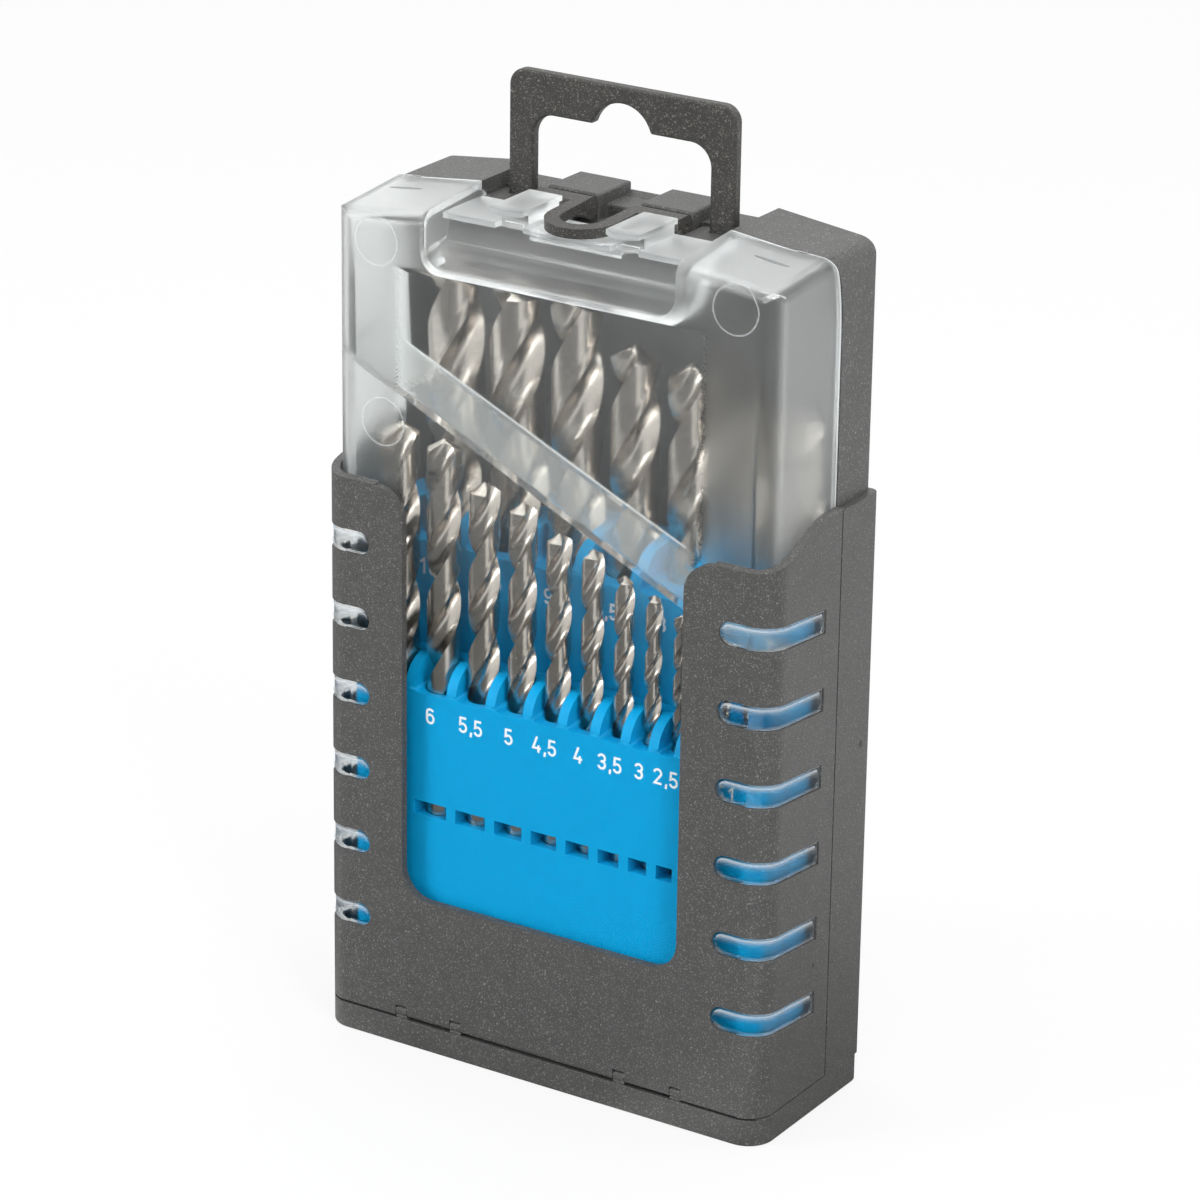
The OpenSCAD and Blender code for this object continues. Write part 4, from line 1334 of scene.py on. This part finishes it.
@dataclass(frozen=True)
class Numerals:
    """Narrow grotesque numerals, drawn with strokes of one width.

    The strokes are polylines in a cell 1 high: low and high are the lowest and
    highest centre lines, and wide is what they take from side to side. Height,
    stroke, raised and sunk are in millimetres, and the steps are in heights.
    """

    height: float = 2.9
    stroke: float = 0.42
    raised: float = 0.025
    raised_more: float = 0.3
    sunk: float = 0.05
    digit_step: float = 0.74
    comma_step: float = 0.33
    low: float = 0.065
    high: float = 0.935
    wide: float = 0.47

    def strokes(self, sign: str) -> list[tuple[Array, bool]]:
        """Strokes of a sign.

        Args:
            sign: A numeral or the comma.

        Returns:
            Polylines, each with whether it is closed.
        """
        low, high, wide = self.low, self.high, self.wide
        mid, r = wide / 2, wide / 2
        table = {
            "0": [(loop(mid, low, high, r, r), True)],
            "1": [(line(0.03, 0.72, 0.29, high + 0.03, 0.29, 0.0), False)],
            "2": [(np.concatenate([arc(mid, high - r, r, r, 172, -22),
                                   line(0.03, low, wide + 0.04, low)]), False)],
            "3": [(np.concatenate([arc(mid, high - 0.215, r - 0.01, 0.215, 165, -90),
                                   line(0.16, high - 0.43)]), False),
                  (arc(mid, low + 0.23, r, 0.23, 95, -165), False)],
            "4": [(line(0.27, 1.0, 0.0, 0.27, wide + 0.07, 0.27), False),
                  (line(0.37, 0.47, 0.37, 0.0), False)],
            "5": [(np.concatenate([line(wide, high, 0.07, high, 0.04, 0.5),
                                   arc(mid, low + 0.25, r, 0.26, 130, -160)]), False)],
            "6": [(loop(mid, low, 0.6, r, 0.26), True),
                  (np.concatenate([arc(mid, high - 0.2, r, 0.2, 25, 180),
                                   line(0.0, low + 0.26)]), False)],
            "7": [(line(-0.02, high, wide, high, 0.16, 0.0), False)],
            "8": [(loop(mid, 0.52, high, r - 0.03, 0.205), True),
                  (loop(mid, low, 0.52, r, 0.225), True)],
            "9": [(loop(mid, 0.4, high, r, 0.26), True),
                  (np.concatenate([arc(mid, low + 0.2, r, 0.2, 205, 360),
                                   line(wide, high - 0.26)]), False)],
            ",": [(line(0.1, 0.13, 0.05, -0.16), False)]}
        return table[sign]

    def ribbon(self, path: Array, closed: bool) -> Array:
        """Left and right edge points of a stroke along a path.

        Each point moves half a stroke along the mean of the normals before
        and after it, over the cosine of half the turn there.

        Args:
            path: Points of shape (n, 2) in millimetres.
            closed: Whether the last point joins the first.

        Returns:
            Array of shape (n, 2, 2).
        """
        half = self.stroke / 2
        before = path - np.roll(path, 1, 0)
        after = np.roll(path, -1, 0) - path
        if not closed:
            before[0], after[-1] = after[0], before[-1]
        before /= np.linalg.norm(before, axis=1, keepdims=True)
        after /= np.linalg.norm(after, axis=1, keepdims=True)
        mean = before + after
        mean /= np.linalg.norm(mean, axis=1, keepdims=True)
        stretch = 1 / np.maximum((mean * after).sum(1), 0.5)
        side = np.stack([-mean[:, 1], mean[:, 0]], 1) * (half * stretch)[:, None]
        return np.stack([path + side, path - side], 1)

    def mark(self, words: str, x: float, y: float, z: float) -> list[tuple[Array, list]]:
        """Raised strokes of words, centred on (x, z), on a face at y.

        The second stroke of a sign stands a little higher than the first, so
        that no two faces lie in one plane where they cross.

        Args:
            words: The signs.
            x: Middle of the words, across, in millimetres.
            y: Depth of the face.
            z: Middle of the words, up.

        Returns:
            Points and faces of each stroke.
        """
        steps = [self.comma_step if sign == "," else self.digit_step for sign in words]
        start = -(sum(steps) - (self.digit_step - self.wide)) / 2
        made = []
        for sign, step in zip(words, steps):
            for order, (path, closed) in enumerate(self.strokes(sign)):
                place = (path + (start, -0.5)) * self.height
                edges = self.ribbon(place, closed)
                flat = np.concatenate([edges, edges[:, ::-1]], 1)
                top = self.raised * (1 + self.raised_more * order)
                depth = np.array([-top, -top, self.sunk, self.sunk])
                rings = np.stack([x + flat[..., 0], np.broadcast_to(y + depth, flat.shape[:2]),
                                  z + flat[..., 1]], 2)
                made.append(sweep(rings, closed))
            start += step
        return made


@dataclass
class BitRack:
    """A rack with its bits and its printed sizes."""

    body: Body
    largest: float
    smallest: float
    text_z: float
    step: float = 0.5
    edge: float = 0.3 * MM

    def diameters(self) -> list[float]:
        """Diameters of this rack's bits, from the largest."""
        count = int(round((self.largest - self.smallest) / self.step)) + 1
        return [self.largest - self.step * i for i in range(count)]

    def build(self, finish: Finishes) -> None:
        """Rounds the rack, makes its bits and prints its sizes.

        Args:
            finish: The finishes.
        """
        node = self.body.value
        tree = surface_tree(bpy.data.objects[node].data)
        fit(softened_copy(node, self.edge), finish.blue, self.body, node)
        signs, marks = Numerals(), []
        for diameter in self.diameters():
            name = f"bit_{diameter:04.1f}".replace(".", "_")
            low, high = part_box(name)
            centre = Vector(((low.x + high.x) / 2, (low.y + high.y) / 2, low.z))
            length, flute = BIT_SIZES[diameter]
            bit = DrillBit(diameter, centre, length, flute).build(f"{name}_skin")
            fit(bit, finish.steel, self.body, name)
            face = tree.ray_cast(Vector((centre.x, -0.1, self.text_z * MM)), Vector((0, 1, 0)))[0]
            words = f"{diameter:g}".replace(".", ",")
            marks += signs.mark(words, centre.x / MM, face.y / MM, self.text_z)
        points, faces = joined(marks)
        print_piece = mesh_object(f"{node}_sizes", points * MM, faces)
        face_outwards(print_piece)
        shade(print_piece)
        fit(print_piece, finish.ink, self.body)


# ---- stage ----


@dataclass
class Studio:
    """A pale floor, soft lamps, and a camera.

    Places are in metres and angles in degrees. Fill is the strength of the
    surroundings, and dark that of what metal mirrors in front of the case.
    Each card is the sector of a white card on the floor in front. Each lamp
    has its name, place, size and power.
    """

    eye: tuple = (0.42599, -0.67039, 0.39397)
    azimuth: float = 32.372
    elevation: float = 21.239
    roll: float = 0.815
    lens: float = 149.44
    fill: float = 0.33
    dark: float = 0.16
    cards: tuple = ((-178, -146), (-58, -22))
    card_softness: float = 12.0
    floor_half: float = 6.0
    floor_glow: float = 0.82
    floor_grey: float = 0.85
    white_sky: tuple = (-0.05, 0.45)
    white_floor: tuple = (0.02, 0.12)
    target: tuple = (0.0, 0.0, 0.09)
    lamps: tuple = (("lamp_top", (0.1, 0.1, 1.3), (2.2, 1.8), 20),
                    ("lamp_right", (1.0, -0.6, 0.7), (0.35, 0.9), 5.5),
                    ("lamp_left", (-0.9, -0.9, 0.6), (0.4, 0.9), 7))

    def camera(self) -> None:
        """Puts the camera at its place, turned by its azimuth, elevation and roll."""
        a, e, r = (math.radians(v) for v in (self.azimuth, self.elevation, self.roll))
        back = Vector((math.sin(a) * math.cos(e), -math.cos(a) * math.cos(e), math.sin(e)))
        right = (-back).cross(Vector((0, 0, 1))).normalized()
        up = right.cross(-back)
        across = math.cos(r) * right + math.sin(r) * up
        upward = -math.sin(r) * right + math.cos(r) * up
        data = bpy.data.cameras.new("camera")
        data.sensor_width = 36
        data.lens = self.lens
        data.clip_start, data.clip_end = 0.01, 20
        camera = bpy.data.objects.new("camera", data)
        turn = Matrix((across, upward, back)).transposed().to_4x4()
        camera.matrix_world = Matrix.Translation(self.eye) @ turn
        bpy.context.scene.collection.objects.link(camera)
        bpy.context.scene.camera = camera

    def lamp(self, name: str, place: Sequence[float], size: tuple[float, float],
             power: float) -> None:
        """Adds a soft rectangular lamp that faces the target.

        Args:
            name: Name of the lamp.
            place: Its place.
            size: Its two sides.
            power: Its power in watts.
        """
        data = bpy.data.lights.new(name, "AREA")
        data.shape = "RECTANGLE"
        data.size, data.size_y = size
        data.energy = power
        lamp = bpy.data.objects.new(name, data)
        lamp.location = place
        towards = Vector(self.target) - Vector(place)
        lamp.rotation_euler = towards.to_track_quat("-Z", "Y").to_euler()
        bpy.context.scene.collection.objects.link(lamp)

    def world(self) -> None:
        """Grey surroundings, which are white behind the case and to the camera."""
        board = NodeBoard(bpy.data.worlds.new("world"))
        axes = board.axes_of(board.coordinates["Generated"])
        path = board.add("ShaderNodeLightPath").outputs
        mirrored = board.spread(axes["Y"], self.dark, 1.0, *self.white_sky)
        level = board.spread(path["Is Glossy Ray"], self.fill, mirrored)
        level = board.spread(path["Is Transmission Ray"], level, 1.0)
        level = board.spread(path["Is Camera Ray"], level, 1.0)
        sky = board.add("ShaderNodeBackground", Color=(1, 1, 1, 1), Strength=level)
        bpy.context.scene.world = board.show(sky, "ShaderNodeOutputWorld")

    def floor(self) -> None:
        """Lays a pale floor that shows white and keeps a light shadow.

        Mirrored in metal it is white behind the case and in the sectors of
        two cards in front, and dark between them.
        """
        half = self.floor_half
        points = np.array([[-half, -half, 0], [half, -half, 0], [half, half, 0], [-half, half, 0]])
        floor = mesh_object("floor", points, [[0, 1, 2, 3]])
        board = NodeBoard.named("floor_paper")
        axes = board.axes_of(board.place)
        bearing = board.math("ARCTAN2", axes["Y"], axes["X"])
        bright = board.band(axes["Y"], *self.white_floor)
        soft = math.radians(self.card_softness)
        for start, end in np.radians(self.cards).tolist():
            inside = board.math("MULTIPLY", board.band(bearing, start, start + soft),
                                board.math("SUBTRACT", 1.0, board.band(bearing, end - soft, end)))
            bright = board.math("MAXIMUM", bright, inside)
        path = board.add("ShaderNodeLightPath").outputs
        level = board.spread(path["Is Glossy Ray"], 1.0, board.spread(bright, self.dark, 1.0))
        matt = board.add("ShaderNodeBsdfDiffuse", Color=(*[self.floor_grey] * 3, 1))
        glow = board.add("ShaderNodeEmission", Color=(1, 1, 1, 1), Strength=level)
        seen = board.math("MULTIPLY", self.floor_glow, board.math(
            "MAXIMUM", path["Is Camera Ray"], path["Is Transmission Ray"]))
        share = board.math("MAXIMUM", seen, path["Is Glossy Ray"])
        floor.data.materials.append(board.show(board.mixed(share, matt, glow)))

    def build(self) -> None:
        """Sets up the view, the floor, the world and the lamps."""
        scene = bpy.context.scene
        scene.view_settings.view_transform = "Standard"
        self.camera()
        self.world()
        self.floor()
        for name, place, size, power in self.lamps:
            self.lamp(name, place, size, power)


def corners(box: tuple[Vector, Vector]) -> list[list[float]]:
    """Two corners as plain lists of numbers."""
    return [list(box[0]), list(box[1])]


def main() -> None:
    """Builds the case around its frame."""
    logging.basicConfig(level=logging.INFO, format="%(message)s")
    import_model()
    Studio().build()
    finish = Finishes()
    CaseShells().build(finish)
    HingedFront().build(finish)
    Latch().build(finish)
    Hanger().build(finish)
    BitRack(Body.FRONT_RACK, 6.5, 1.0, 62.8).build(finish)
    BitRack(Body.REAR_RACK, 10.0, 7.0, 86.4).build(finish)


if __name__ == "__main__":
    main()
